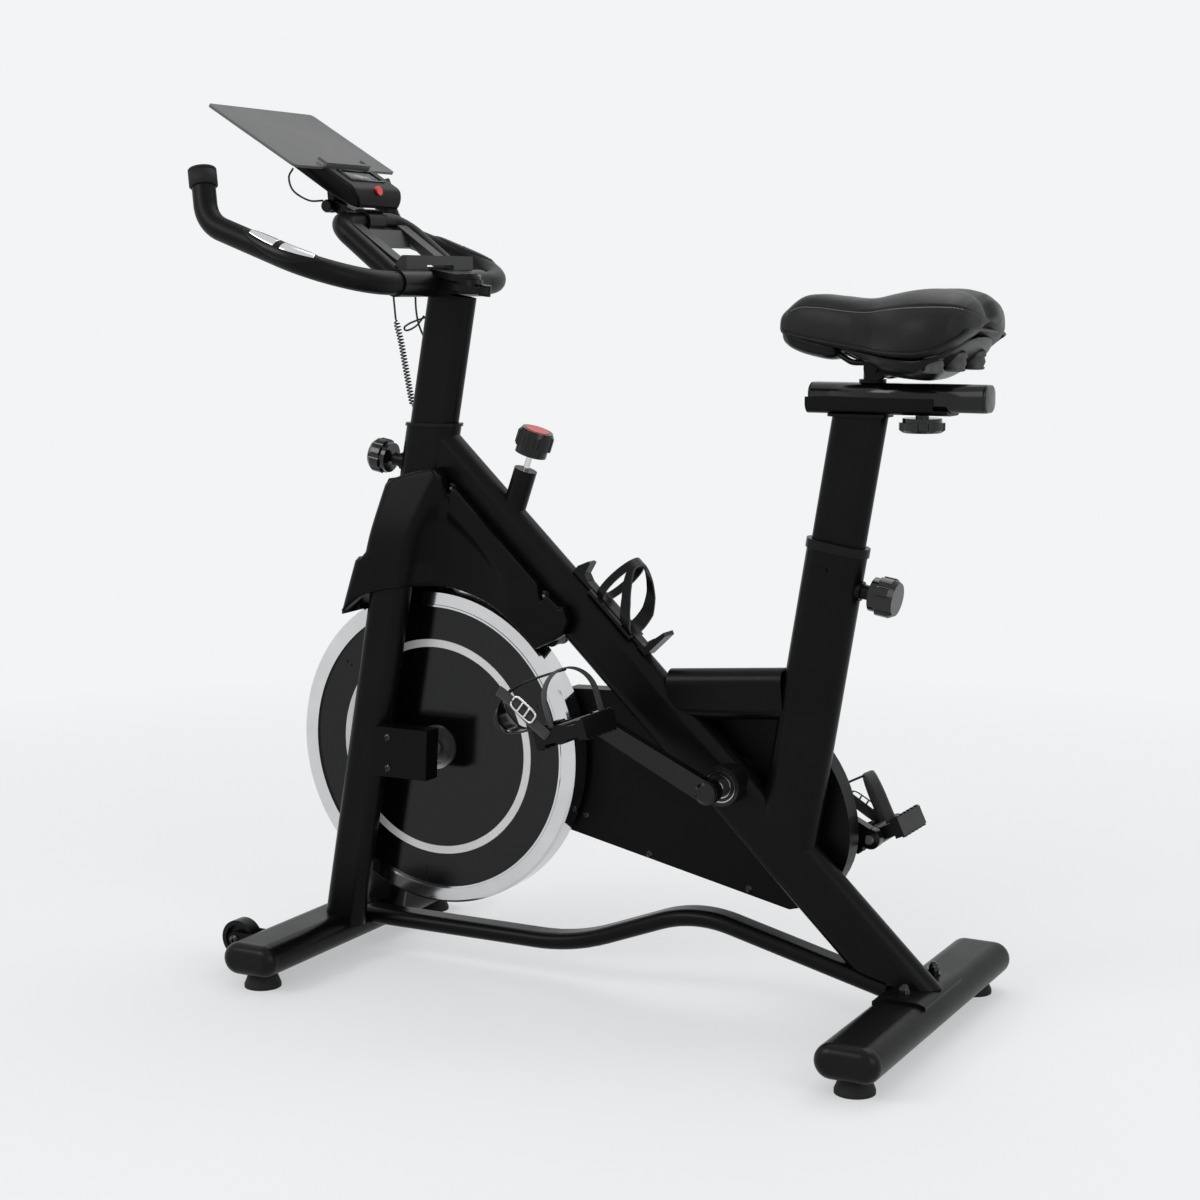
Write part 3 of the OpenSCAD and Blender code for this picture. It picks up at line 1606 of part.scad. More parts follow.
module slider_tube() {
    placed() color("black") {
        slide_bar();
        slider_caps();
    }
}

module saddle_clamp() {
    placed() color([0.15, 0.15, 0.15]) {
        seat_clamp();
        saddle_rails();
    }
}

module saddle_pan() {
    placed() color([0.05, 0.05, 0.05]) {
        pan();
        saddle_springs();
    }
}

module bar_clamp() {
    placed() color([0.12, 0.12, 0.12]) {
        post_head();
        bar_sleeve();
    }
}

module handlebar() {
    placed() color([0.1, 0.1, 0.1]) {
        outer_bar();
        inner_loop();
    }
}

module bar_fittings() {
    placed() color([0.15, 0.15, 0.15]) {
        bar_ends();
        pulse_bezels();
        pulse_plates();
    }
}

module console_bracket() {
    placed() color([0.1, 0.1, 0.1]) {
        bracket_body();
        console_knob();
    }
}

module console() {
    placed() color([0.2, 0.2, 0.2]) {
        console_case();
        console_screen();
    }
}

// ---------------------------------------------------------------- node list

front_stabiliser();
rear_stabiliser();
stabiliser_caps();
rubber_feet();
base_plate();
frame_screws();
wheel_brackets();
transport_wheel_left();
transport_wheel_right();
head_tube();
main_tube();
seat_tube();
cross_tube();
bottom_brace();
fork();
crank_shell();
frame_bosses();
post_collars();
flywheel_rim();
flywheel_hub();
flywheel_covers();
flywheel_axle();
axle_covers();
crank_arms();
crank_spindles();
crank_pulley();
drive_belt();
pedal_left();
pedal_right();
toe_clip_left();
toe_clip_right();
toe_strap_left();
toe_strap_right();
guard_inner();
guard_outer();
front_cover();
bottle_cage();
brake_arm();
brake_rod();
brake_knob();
head_knob();
seat_knob();
seat_post();
slider_channel();
slider_tube();
slider_knob();
saddle_clamp();
saddle_cushion();
saddle_pan();
handlebar_post();
bar_clamp();
handlebar();
bar_fittings();
clamp_lever();
handlebar_tray();
console_bracket();
console();
media_panel();
red_button();
console_leads();
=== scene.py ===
import math
import bpy
import numpy as np
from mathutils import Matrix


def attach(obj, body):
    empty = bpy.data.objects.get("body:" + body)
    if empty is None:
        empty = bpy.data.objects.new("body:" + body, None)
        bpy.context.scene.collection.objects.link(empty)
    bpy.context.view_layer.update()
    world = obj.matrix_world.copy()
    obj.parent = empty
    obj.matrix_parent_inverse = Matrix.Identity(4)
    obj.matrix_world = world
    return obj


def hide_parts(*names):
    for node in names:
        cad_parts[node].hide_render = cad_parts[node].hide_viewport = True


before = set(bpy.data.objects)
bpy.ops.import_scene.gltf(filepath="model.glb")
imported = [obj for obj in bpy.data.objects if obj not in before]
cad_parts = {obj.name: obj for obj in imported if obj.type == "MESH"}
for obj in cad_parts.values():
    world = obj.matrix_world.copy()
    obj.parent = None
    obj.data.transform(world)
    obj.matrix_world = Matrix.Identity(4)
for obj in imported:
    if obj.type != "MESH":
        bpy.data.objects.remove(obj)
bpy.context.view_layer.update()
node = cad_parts
print("loaded", len(node), "packed pieces")

frameShift = 0.017393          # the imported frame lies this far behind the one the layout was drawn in
wheelAxle = (-251.5, 0, 296)   # the layout is in millimetres
crankAxle = (175, 0, 293)
crankLength = 170
crankAngle = math.radians(25.4)


def inFrame(points):
    # from the layout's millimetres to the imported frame's metres
    return np.asarray(points, float) / 1000 + [frameShift, 0, 0]


def addObject(name, data):
    made = bpy.data.objects.new(name, data)
    bpy.context.scene.collection.objects.link(made)
    return made


cameraView = {"place": (1.3169, -2.463, 0.89947), "pitch": 81.98, "turn": 28.07, "lens": 66.71, "film": 36.0}


def placeCamera(view):
    data = bpy.data.cameras.new("viewCamera")
    data.lens = view["lens"]
    data.sensor_width = view["film"]
    data.sensor_height = view["film"]
    data.clip_end = 60
    camera = addObject("viewCamera", data)
    camera.location = view["place"]
    camera.rotation_euler = (math.radians(view["pitch"]), 0, math.radians(view["turn"]))
    bpy.context.scene.camera = camera


placeCamera(cameraView)


# ---- node trees ----

def addNode(tree, kind, **settings):
    made = tree.nodes.new("ShaderNode" + kind)
    for key, value in settings.items():
        setattr(made, key, value)
    return made


def give(entry, value):
    # an output is linked to the entry, and anything else becomes the entry's own value
    if isinstance(value, bpy.types.NodeSocket):
        entry.id_data.links.new(value, entry)
    else:
        entry.default_value = value


def setInputs(shader, **values):
    for key, value in values.items():
        give(shader.inputs[key.replace("_", " ")], value)


def mapTo(tree, value, low, high, fromLow=0.0, fromHigh=1.0):
    spread = addNode(tree, "MapRange")
    setInputs(spread, Value=value, From_Min=fromLow, From_Max=fromHigh, To_Min=low, To_Max=high)
    return spread.outputs["Result"]


def maths(tree, operation, a, b=0.0, c=0.0):
    made = addNode(tree, "Math", operation=operation)
    for entry, value in zip(made.inputs, (a, b, c)):
        give(entry, value)
    return made.outputs["Value"]


def grainGroup():
    # two noises of different scale: a fine height, and a slow mask of handling and dust
    group = bpy.data.node_groups.new("surfaceGrain", "ShaderNodeTree")
    face = group.interface
    for name, start in (("Fine Scale", 900.0), ("Slow Scale", 9.0)):
        face.new_socket(name, in_out="INPUT", socket_type="NodeSocketFloat").default_value = start
    face.new_socket("Vector", in_out="INPUT", socket_type="NodeSocketVector")
    for name in ("Height", "Mask"):
        face.new_socket(name, in_out="OUTPUT", socket_type="NodeSocketFloat")
    enter = group.nodes.new("NodeGroupInput").outputs
    fine, slow = addNode(group, "TexNoise"), addNode(group, "TexNoise")
    setInputs(fine, Vector=enter["Vector"], Scale=enter["Fine Scale"], Detail=2.0, Roughness=0.55)
    setInputs(slow, Vector=enter["Vector"], Scale=enter["Slow Scale"], Detail=5.0, Roughness=0.6)
    mask = mapTo(group, slow.outputs["Fac"], 0.0, 1.0, 0.35, 0.7)
    setInputs(group.nodes.new("NodeGroupOutput"), Height=fine.outputs["Fac"], Mask=mask)
    return group


surfaceGrain = grainGroup()


def addGrain(tree, vector, fineScale=900.0, slowScale=9.0):
    grain = addNode(tree, "Group", node_tree=surfaceGrain)
    setInputs(grain, Vector=vector, Fine_Scale=fineScale, Slow_Scale=slowScale)
    return grain.outputs["Height"], grain.outputs["Mask"]


def startMaterial(name, centre=(0, 0, 0), turn=(0, 0, 0)):
    # a material, its tree and shader, and object coordinates from the given centre and turn
    material = bpy.data.materials.new(name)
    material.use_nodes = True
    tree = material.node_tree
    tree.nodes.clear()
    shader = addNode(tree, "BsdfPrincipled")
    setInputs(addNode(tree, "OutputMaterial"), Surface=shader.outputs["BSDF"])
    coords = addNode(tree, "TexCoord")
    mapping = addNode(tree, "Mapping", vector_type="TEXTURE")
    setInputs(mapping, Vector=coords.outputs["Object"], Location=centre, Rotation=turn)
    return material, tree, shader, mapping.outputs["Vector"]


def tone(colour):
    # a near grey is given by its red and its blue, any other colour in full
    return colour if len(colour) == 3 else (colour[0], *colour)


def mixColours(tree, mask, low, high):
    # low and high are each a colour, or an output that gives one
    mix = addNode(tree, "Mix", data_type="RGBA")
    for name, value in (("A", low), ("B", high)):
        entry = [s for s in mix.inputs if s.name == name and s.type == "RGBA"][0]
        give(entry, (*tone(value), 1) if isinstance(value, tuple) else value)
    setInputs(mix, Factor=mask)
    return mix.outputs[2]


def addBump(tree, shader, height, distance, strength=1.0, under=None):
    bump = addNode(tree, "Bump")
    setInputs(bump, Height=height, Distance=distance, Strength=strength)
    if under is not None:
        setInputs(bump, Normal=under)
    setInputs(shader, Normal=bump.outputs["Normal"])
    return bump.outputs["Normal"]


def finish(name, colour, lighter, rough, glossy, fineScale, depth, specular=0.5, metal=0.0, coat=0.0):
    # colour and roughness drift between two values, over a fine grain some micrometres deep
    material, tree, shader, vector = startMaterial(name)
    height, drift = addGrain(tree, vector, fineScale, 11.0)
    setInputs(shader, Base_Color=mixColours(tree, drift, colour, lighter), Metallic=metal, Coat_Weight=coat,
              Roughness=mapTo(tree, drift, rough, glossy), Specular_IOR_Level=specular)
    addBump(tree, shader, height, depth * 1e-6)
    return material


# each row holds the arguments of finish
finishRows = {
    "paint": ("satinPaint", (0.0018, 0.0019), (0.0034, 0.0036), 0.34, 0.26, 1400, 50, 0.10),
    "gloss": ("glossPaint", (0.0025, 0.0028), (0.0040, 0.0043), 0.16, 0.11, 260, 20, 0.3),
    "guard": ("guardPlastic", (0.0014, 0.0015), (0.0026, 0.0028), 0.40, 0.31, 2100, 50, 0.09),
    "plastic": ("mouldedPlastic", (0.0026, 0.0028), (0.0042, 0.0045), 0.34, 0.26, 2300, 30, 0.15),
    "shiny": ("shinyPlastic", (0.0030, 0.0033), (0.0050, 0.0054), 0.17, 0.12, 500, 20, 0.4),
    "grey": ("greyPlastic", (0.010, 0.0105), (0.015, 0.0155), 0.46, 0.38, 2600, 40, 0.3),
    "panel": ("panelPlastic", (0.092, 0.094), (0.104, 0.106), 0.50, 0.42, 2600, 40, 0.3),
    "rubber": ("ribbedRubber", (0.006, 0.006), (0.011, 0.011), 0.70, 0.58, 1500, 80, 0.2),
    "foam": ("gripFoam", (0.0018, 0.0019), (0.0032, 0.0034), 0.42, 0.34, 1900, 100, 0.11),
    "chrome": ("mirrorChrome", (0.60, 0.61), (0.68, 0.69), 0.12, 0.07, 150, 10, 0.5, 1.0),
    "steel": ("turnedSteel", (0.42, 0.43), (0.52, 0.53), 0.34, 0.24, 900, 40, 0.5, 1.0),
    "zinc": ("platedScrews", (0.10, 0.105), (0.16, 0.165), 0.36, 0.26, 1200, 30, 0.5, 1.0),
    "elastomer": ("greyElastomer", (0.030, 0.030), (0.045, 0.045), 0.58, 0.50, 1500, 60),
    "red": ("redButton", (0.62, 0.015, 0.012), (0.70, 0.022, 0.018), 0.26, 0.20, 700, 20, 0.5, 0.0, 0.3),
    "thread": ("greyThread", (0.17, 0.17), (0.26, 0.26), 0.6, 0.5, 3000, 30),
    "wire": ("wireSheath", (0.0040, 0.0042), (0.0070, 0.0073), 0.44, 0.36, 1600, 20, 0.3),
    "glass": ("displayGlass", (0.16, 0.18, 0.165), (0.20, 0.22, 0.205), 0.22, 0.14, 300, 10),
}
finishes = {key: finish(*row) for key, row in finishRows.items()}
print("made", len(finishes), "plain finishes")


# ---- surfaces ----

def joinParts(parts):
    # one set of points and faces from several
    points, faces, count = [], [], 0
    for somePoints, someFaces in parts:
        points.append(somePoints)
        faces += [[int(i) + count for i in f] for f in someFaces]
        count += len(somePoints)
    return np.concatenate(points), faces


def addPiece(name, body, parts, finishName):
    # one smooth object from a list of (points, faces)
    points, faces = joinParts(parts)
    mesh = bpy.data.meshes.new(name)
    mesh.from_pydata(points.tolist(), [], faces)
    mesh.polygons.foreach_set("use_smooth", np.ones(len(mesh.polygons), dtype=bool))
    mesh.materials.append(finishes[finishName])
    piece = addObject(name, mesh)
    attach(piece, body)
    return piece


def addWall(piece, thickness):
    wall = piece.modifiers.new("wall", "SOLIDIFY")
    wall.thickness = thickness
    wall.offset = -1


def unit(vectors):
    return vectors / np.linalg.norm(vectors, axis=-1, keepdims=True)


def ringAngles(count):
    return np.arange(count) * 2 * math.pi / count


def ramp(value, start, over):
    # 0 before the start, 1 once past it by the given distance
    return np.clip((value - start) / over, 0, 1)


def softRamp(value, start, over):
    t = ramp(value, start, over)
    return t * t * (3 - 2 * t)


def cosineSpaced(count):
    # shares from 0 to 1, closest together at both ends
    return 0.5 - 0.5 * np.cos(np.linspace(0, math.pi, count))


def gridFaces(rows, columns, closeColumns=True):
    # quads between the points of a grid whose rows may each close into a ring
    r = np.arange(rows - 1)
    c = np.arange(columns if closeColumns else columns - 1)
    rr, cc = np.meshgrid(r * columns, c, indexing="ij")
    cn = (cc + 1) % columns
    quads = np.stack([rr + cc, rr + cn, rr + columns + cn, rr + columns + cc], -1)
    return quads.reshape(-1, 4)


def ringFaces(rows, columns):
    # faces of a stack of rings and of the two poles whose points come after them
    first, final, last = rows * columns, rows * columns + 1, (rows - 1) * columns
    faces = gridFaces(rows, columns).tolist()
    faces += [[first, (i + 1) % columns, i] for i in range(columns)]
    return faces + [[final, last + i, last + (i + 1) % columns] for i in range(columns)]


def steps(path):
    return np.linalg.norm(np.diff(path, axis=0), axis=1)


def distances(path):
    # how far along the path each of its points lies
    return np.concatenate([[0], np.cumsum(steps(path))])


def pathLength(path):
    return float(steps(path).sum())


def pointsAt(path, where, wanted):
    # the path's points at the wanted places, where its own points lie at the given ones
    return np.stack([np.interp(wanted, where, path[:, k]) for k in range(path.shape[1])], -1)


def evenly(points, count):
    # the same number of points along any line, closest to its ends
    p = np.asarray(points, float)
    s = distances(p)
    return pointsAt(p, s, cosineSpaced(count) * s[-1])


def smoothPath(route, each):
    # Catmull-Rom curve through the route's points
    p = np.asarray(route, float)
    p = np.concatenate([[2 * p[0] - p[1]], p, [2 * p[-1] - p[-2]]])
    t = np.arange(each)[:, None] / each
    pieces = []
    for a, b, c, d in zip(p[:-3], p[1:-2], p[2:-1], p[3:]):
        square = (2 * a - 5 * b + 4 * c - d) * t ** 2
        cube = (3 * b - a - 3 * c + d) * t ** 3
        pieces.append(0.5 * (2 * b + (c - a) * t + square + cube))
    return np.concatenate(pieces + [p[-2:-1]])


def roundedPath(points, bends, step=1.5):
    # straight runs joined by arcs of the given radii
    p = np.asarray(points, float)
    line = [p[0]]
    for a, b, c, radius in zip(p[:-2], p[1:-1], p[2:], bends):
        u, v = unit(a - b), unit(c - b)
        half = math.acos(np.clip(u @ v, -1, 1)) / 2
        cut = radius / math.tan(half)
        centre = b + unit(u + v) * radius / math.sin(half)
        start, end = b + u * cut - centre, b + v * cut - centre
        sweep = math.pi - 2 * half
        t = np.linspace(0, 1, max(3, int(radius * sweep / step)))[:, None]
        line += list(centre + (np.sin((1 - t) * sweep) * start + np.sin(t * sweep) * end) / math.sin(sweep))
    line.append(p[-1])
    return np.array(line)


def pathFrames(path, up=(0, 1, 0.01)):
    # along, across and over directions at each point, with across kept square to the given direction
    along = unit(np.gradient(path, axis=0))
    across = unit(np.cross(np.asarray(up, float), along))
    return along, across, np.cross(along, across)


def sweptTube(path, radius, sides=8, up=(0, 1, 0.01)):
    # a circle carried along the path, closed by a flat end at each side
    path = np.asarray(path, float)
    across, over = pathFrames(path, up)[1:]
    a = ringAngles(sides)[:, None]
    ring = radius * (across[:, None] * np.cos(a) + over[:, None] * np.sin(a))
    n = len(path)
    faces = gridFaces(n, sides).tolist()
    faces += [list(range(sides))[::-1], list(range((n - 1) * sides, n * sides))]
    return (path[:, None] + ring).reshape(-1, 3), faces


def revolved(foot, axis, profile, sides):
    # a profile of (distance along the axis, radius) turned round it
    e = unit(np.cross(axis, [0.3, 0.2, 1.0]))
    f = np.cross(axis, e)
    p = np.asarray(profile, float)
    a = ringAngles(sides)[:, None]
    ring = np.cos(a) * e + np.sin(a) * f
    return foot + p[:, 0, None, None] * axis + p[:, 1, None, None] * ring[None]


def solid(points, faces):
    # the same closed surface, turned over where its signed volume is negative
    middle = points - points.mean(0)
    volume = 0
    for f in faces:
        for second, third in zip(f[1:-1], f[2:]):
            volume += np.dot(middle[f[0]], np.cross(middle[second], middle[third]))
    return points, faces if volume > 0 else [f[::-1] for f in faces]


def withPoles(grid):
    # points and faces of rows that are rings, with a pole at each end
    rows, columns = grid.shape[:2]
    points = np.concatenate([grid.reshape(-1, 3), [grid[0].mean(0), grid[-1].mean(0)]])
    return points, ringFaces(rows, columns)


def closedTube(grid):
    return solid(*withPoles(grid))


def turnedPart(foot, axis, profile, sides):
    # a solid turned about an axis, from the layout's millimetres
    points, faces = closedTube(revolved(np.array(foot, float), np.array(axis, float), profile, sides))
    return inFrame(points), faces


def turnedPairs(places, axis, profile, sides):
    # the same turned part at each place and at its mirror image across the bike
    flips = [np.array([1, side, 1]) for side in (-1, 1)]
    return [turnedPart(place * flip, axis * flip, profile, sides) for place in places for flip in flips]


def openSheet(grid, inside):
    # one open surface, its faces turned away from the given point
    points = grid.reshape(-1, 3)
    faces = gridFaces(*grid.shape[:2], closeColumns=False)
    a, b, c = (points[faces[:, k]] for k in (0, 1, 2))
    outwards = (np.cross(b - a, c - a) * (a - inside)).sum() > 0
    return points, faces if outwards else faces[:, ::-1]


# ---- cords of the console ----

leads = {
    "coil": [[-317, 0, 857], [-309.5, 0, 830], [-303.5, 0, 800], [-297.5, 0, 770], [-292, 0, 744]],
    "signal": [[-319, 0, 912], [-320, 0, 890], [-318.5, 0, 872], [-317, 0, 857]],
    "drop": [[-286, 0, 905], [-286, 0, 889], [-285.5, 0, 872], [-283, 0, 856], [-279, 0, 845],
             [-274, 0, 835]],
    "loop": [[-270, -5, 862], [-279, -6, 851], [-289, -6, 845], [-299, -4, 843], [-303.5, 0, 847],
             [-298, 4, 852], [-288, 6, 856], [-278, 6, 859], [-270.5, 5, 862]],
    "jack": [[-435, -57.5, 1052], [-441, -59, 1040], [-437, -55, 1023], [-422, -42, 1011], [-410, -27, 1011]],
    "wire": 0.0026, "coilOuter": 0.0090, "coilWire": 0.0019, "coilPitch": 0.0042,
    "perTurn": 14, "fadeTurns": 1.2, "up": (0.13, 1, 0.06),
}


def coiledPath(shape):
    # helix round a smooth centre line: its radius grows from nothing over the first and last turn
    line = smoothPath(inFrame(shape["coil"]), 30)
    length = pathLength(line)
    turns = int(length / shape["coilPitch"])
    t = np.linspace(0, 1, turns * shape["perTurn"] + 1)
    centre = pointsAt(line, distances(line) / length, t)
    across, over = pathFrames(centre)[1:]
    fade = np.clip(np.minimum(t, 1 - t) * turns / shape["fadeTurns"], 0, 1)
    r = (shape["coilOuter"] - shape["coilWire"]) / 2 * fade[:, None]
    a = 2 * math.pi * turns * t[:, None]
    return centre + (across * np.cos(a) + over * np.sin(a)) * r


def addLead(name, path, diameter, sides):
    tube = sweptTube(path, diameter / 2, sides, up=leads["up"])
    piece = addPiece(name, "handlebar_assembly", [tube], "wire")
    return piece


leadPieces = [addLead("coiledLead", coiledPath(leads), leads["coilWire"], 7)]
for leadName in ("signal", "drop", "loop", "jack"):
    leadPieces.append(addLead(leadName + "Lead", smoothPath(inFrame(leads[leadName]), 8), leads["wire"], 8))
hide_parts("console_leads")
print("laid", len(leadPieces), "leads")


# ---- finishes that follow a place on the bike ----

wheelCentre = inFrame(wheelAxle).tolist()
crankCentre = inFrame(crankAxle).tolist()
brakeLean = math.atan2(130, 372)
panelLow = inFrame((-390.5, 0, 1052.7)).tolist()
panelTilt = math.radians(31)

marks = {
    "stripe": (0.139, 0.0052),         # radius and half width of the light ring on the flywheel
    "cap": (0.01598, 0.4462),          # radius of the brake knob's red cap, and where it starts
    "pad": 0.2262,                     # the brake arm is felt inside this radius
    "bearing": (0.0195, 0.0140),       # radii of the bearing's bright rings
    "bearingHalf": 0.0007,
}


def splitAxes(tree, vector):
    parts = addNode(tree, "SeparateXYZ")
    setInputs(parts, Vector=vector)
    return parts.outputs


def fromAxis(tree, vector, keep):
    # distance from an axis: the length of the two coordinates that are kept
    flat = addNode(tree, "VectorMath", operation="MULTIPLY")
    length = addNode(tree, "VectorMath", operation="LENGTH")
    for entry, value in zip((*flat.inputs[:2], length.inputs[0]), (vector, keep, flat.outputs["Vector"])):
        give(entry, value)
    return length.outputs["Value"]


def stripeMask(tree, vector):
    return maths(tree, "COMPARE", fromAxis(tree, vector, (1, 0, 1)), *marks["stripe"])


def capMask(tree, vector):
    radius, start = marks["cap"]
    inside = maths(tree, "LESS_THAN", fromAxis(tree, vector, (1, 1, 0)), radius)
    above = maths(tree, "GREATER_THAN", splitAxes(tree, vector)["Z"], start)
    return maths(tree, "MULTIPLY", inside, above)


def padMask(tree, vector):
    return maths(tree, "LESS_THAN", fromAxis(tree, vector, (1, 0, 1)), marks["pad"])


def bearingMask(tree, vector):
    radius = fromAxis(tree, vector, (1, 0, 1))
    rings = [maths(tree, "COMPARE", radius, place, marks["bearingHalf"]) for place in marks["bearing"]]
    return maths(tree, "MAXIMUM", *rings)


def twoTone(name, mask, colour, other, rough, otherRough, metals=(0.0, 0.0), depth=0.00003, **mapping):
    # two finishes in one piece; mask(tree, vector) says where the second one lies
    material, tree, shader, vector = startMaterial(name, **mapping)
    height, drift = addGrain(tree, vector, 1500.0)
    where = mask(tree, vector)
    base = mixColours(tree, drift, tuple(0.8 * v for v in colour), colour)
    second = mixColours(tree, drift, tuple(0.86 * v for v in other), other)
    metal = metals[0] if metals[0] == metals[1] else mapTo(tree, where, *metals)
    setInputs(shader, Base_Color=mixColours(tree, where, base, second), Metallic=metal,
              Roughness=mapTo(tree, where, rough, otherRough), Specular_IOR_Level=0.3)
    addBump(tree, shader, height, depth)
    return material


wheel = {"centre": wheelCentre}
knob = {"centre": wheelCentre, "turn": (0, brakeLean, 0)}
bearing = {"centre": crankCentre, "metals": (0.0, 1.0)}
markedRows = {                 # the arguments of twoTone, and where its pattern is centred
    "disc": ("flywheelDisc", stripeMask, (0.0022, 0.0025), (0.66, 0.66), 0.12, 0.42, wheel),
    "redCap": ("resistanceKnob", capMask, (0.004, 0.0045), (0.60, 0.015, 0.012), 0.16, 0.3, knob),
    "brake": ("brakeArm", padMask, (0.012, 0.013), (0.06, 0.055, 0.05), 0.45, 0.95, wheel),
    "shell": ("bearingShell", bearingMask, (0.005, 0.005), (0.45, 0.46), 0.33, 0.22, bearing),
}
for key, (*row, place) in markedRows.items():
    finishes[key] = twoTone(*row, **place)


def leatherFinish(name, colour, lighter):
    # pebbled cells over slow creases, a little shinier where it is handled
    material, tree, shader, vector = startMaterial(name)
    cells = addNode(tree, "TexVoronoi", feature="DISTANCE_TO_EDGE")
    setInputs(cells, Vector=vector, Scale=900.0, Randomness=1.0)
    height, drift = addGrain(tree, vector, 260.0, 14.0)
    setInputs(shader, Base_Color=mixColours(tree, drift, colour, lighter), Specular_IOR_Level=0.17,
              Roughness=mapTo(tree, drift, 0.40, 0.31))
    creased = addBump(tree, shader, height, 0.0003, 0.6)
    addBump(tree, shader, mapTo(tree, cells.outputs["Distance"], 0.0, 1.0, 0.0, 0.12), 0.00009, 0.8, creased)
    return material


def wovenFinish(name, colour, lighter, threads):
    # plain weave: two crossing sine ribs, each over the other in turn, along the strap's own UV map; the
    # colour follows their height, with painted shade in the hollows and the raised crossings lighter
    material, tree, shader, vector = startMaterial(name)
    place = splitAxes(tree, addNode(tree, "UVMap", uv_map="weave").outputs["UV"])
    turns = threads * 2 * math.pi
    ribs = [maths(tree, "SINE", maths(tree, "MULTIPLY", place[axis], turns)) for axis in ("X", "Y")]
    weave = maths(tree, "MULTIPLY_ADD", maths(tree, "MULTIPLY", *ribs), 0.5, 0.5)
    drift = addGrain(tree, vector)[1]
    # painted shade: the colour is darker in the weave's hollows and lighter on its raised crossings, by the
    # same height as the bump
    setInputs(shader, Base_Color=mixColours(tree, weave, colour, lighter), Sheen_Weight=0.2,
              Roughness=mapTo(tree, drift, 0.85, 0.72))
    addBump(tree, shader, weave, 0.0003)
    return material


finishes["leather"] = leatherFinish("saddleLeather", (0.0055, 0.0058), (0.0085, 0.0088))
# the webbing's second colour is the painted light on the weave's raised crossings
finishes["webbing"] = wovenFinish("toeStrapWebbing", (0.006, 0.007), (0.030, 0.032), 900.0)

nodeFinish = {
    "paint": ["front_stabiliser", "rear_stabiliser", "base_plate", "wheel_brackets", "head_tube", "main_tube",
              "seat_tube", "cross_tube", "bottom_brace", "fork", "frame_bosses", "seat_post",
              "slider_channel", "slider_tube", "handlebar_post", "saddle_clamp"],
    "gloss": ["crank_arms"],
    "guard": ["guard_inner", "guard_outer", "front_cover", "axle_covers", "console"],
    "plastic": ["stabiliser_caps", "transport_wheel_left", "transport_wheel_right", "post_collars",
                "crank_pulley", "pedal_left", "pedal_right", "bottle_cage", "bar_clamp", "bar_fittings",
                "clamp_lever", "console_bracket", "saddle_pan"],
    "shiny": ["frame_screws", "toe_clip_left", "toe_clip_right", "head_knob", "seat_knob", "slider_knob"],
    "grey": ["handlebar_tray"], "panel": ["media_panel"], "rubber": ["rubber_feet", "drive_belt"],
    "foam": ["handlebar"], "chrome": ["flywheel_rim", "brake_rod", "crank_spindles"],
    "steel": ["flywheel_hub"], "zinc": ["flywheel_axle"], "red": ["red_button"], "disc": ["flywheel_covers"],
    "redCap": ["brake_knob"], "shell": ["crank_shell"], "brake": ["brake_arm"], "wire": ["console_leads"],
    "leather": ["saddle_cushion"], "webbing": ["toe_strap_left", "toe_strap_right"],
}

for finishName, names in nodeFinish.items():
    for name in names:
        node[name].material_slots[0].material = finishes[finishName]
print("every packed piece has its finish")


# ---- saddle ----

saddle = {
    "nose": 231.5, "length": 261,
    "back": [0, 5, 14, 30, 55, 80, 107, 130, 152, 176, 204, 228, 246, 256, 261],
    "half": [3, 15, 23, 29, 33, 37, 43, 56, 74, 90, 98, 96, 84, 62, 34],
    "low": [854, 845, 841, 835, 829, 825, 821, 818, 815, 813, 813, 820, 834, 846, 856],
    "high": [861, 868, 876, 888, 892, 890, 888, 889, 893, 897, 899, 897, 890, 880, 868],
    "edgeShare": 0.22, "tuck": 0.14, "hollow": 9, "hollowShare": 0.3,
    "valley": 1.0, "channel": 6.0, "channelWidth": 17.0, "wings": (90, 120),
    "notch": 6.0, "notchWidth": 15, "tail": (190, 70),
    "seamAngle": 37.0, "seamDepth": 1.5, "seamWidth": 1.5, "seamStart": (16, 20), "rows": 170, "columns": 288,
}


def alongSaddle(key, back):
    # a measure of the saddle at each distance back from the nose, by a cubic through the listed ones
    x, y = np.array(saddle["back"], float), np.array(saddle[key], float)
    slope = np.gradient(y, x)
    i = np.clip(np.searchsorted(x, back) - 1, 0, len(x) - 2)
    h = x[i + 1] - x[i]
    t = (back - x[i]) / h
    return ((2 * t ** 3 - 3 * t ** 2 + 1) * y[i] + (t ** 3 - 2 * t ** 2 + t) * h * slope[i]
            + (3 * t ** 2 - 2 * t ** 3) * y[i + 1] + (t ** 3 - t ** 2) * h * slope[i + 1])


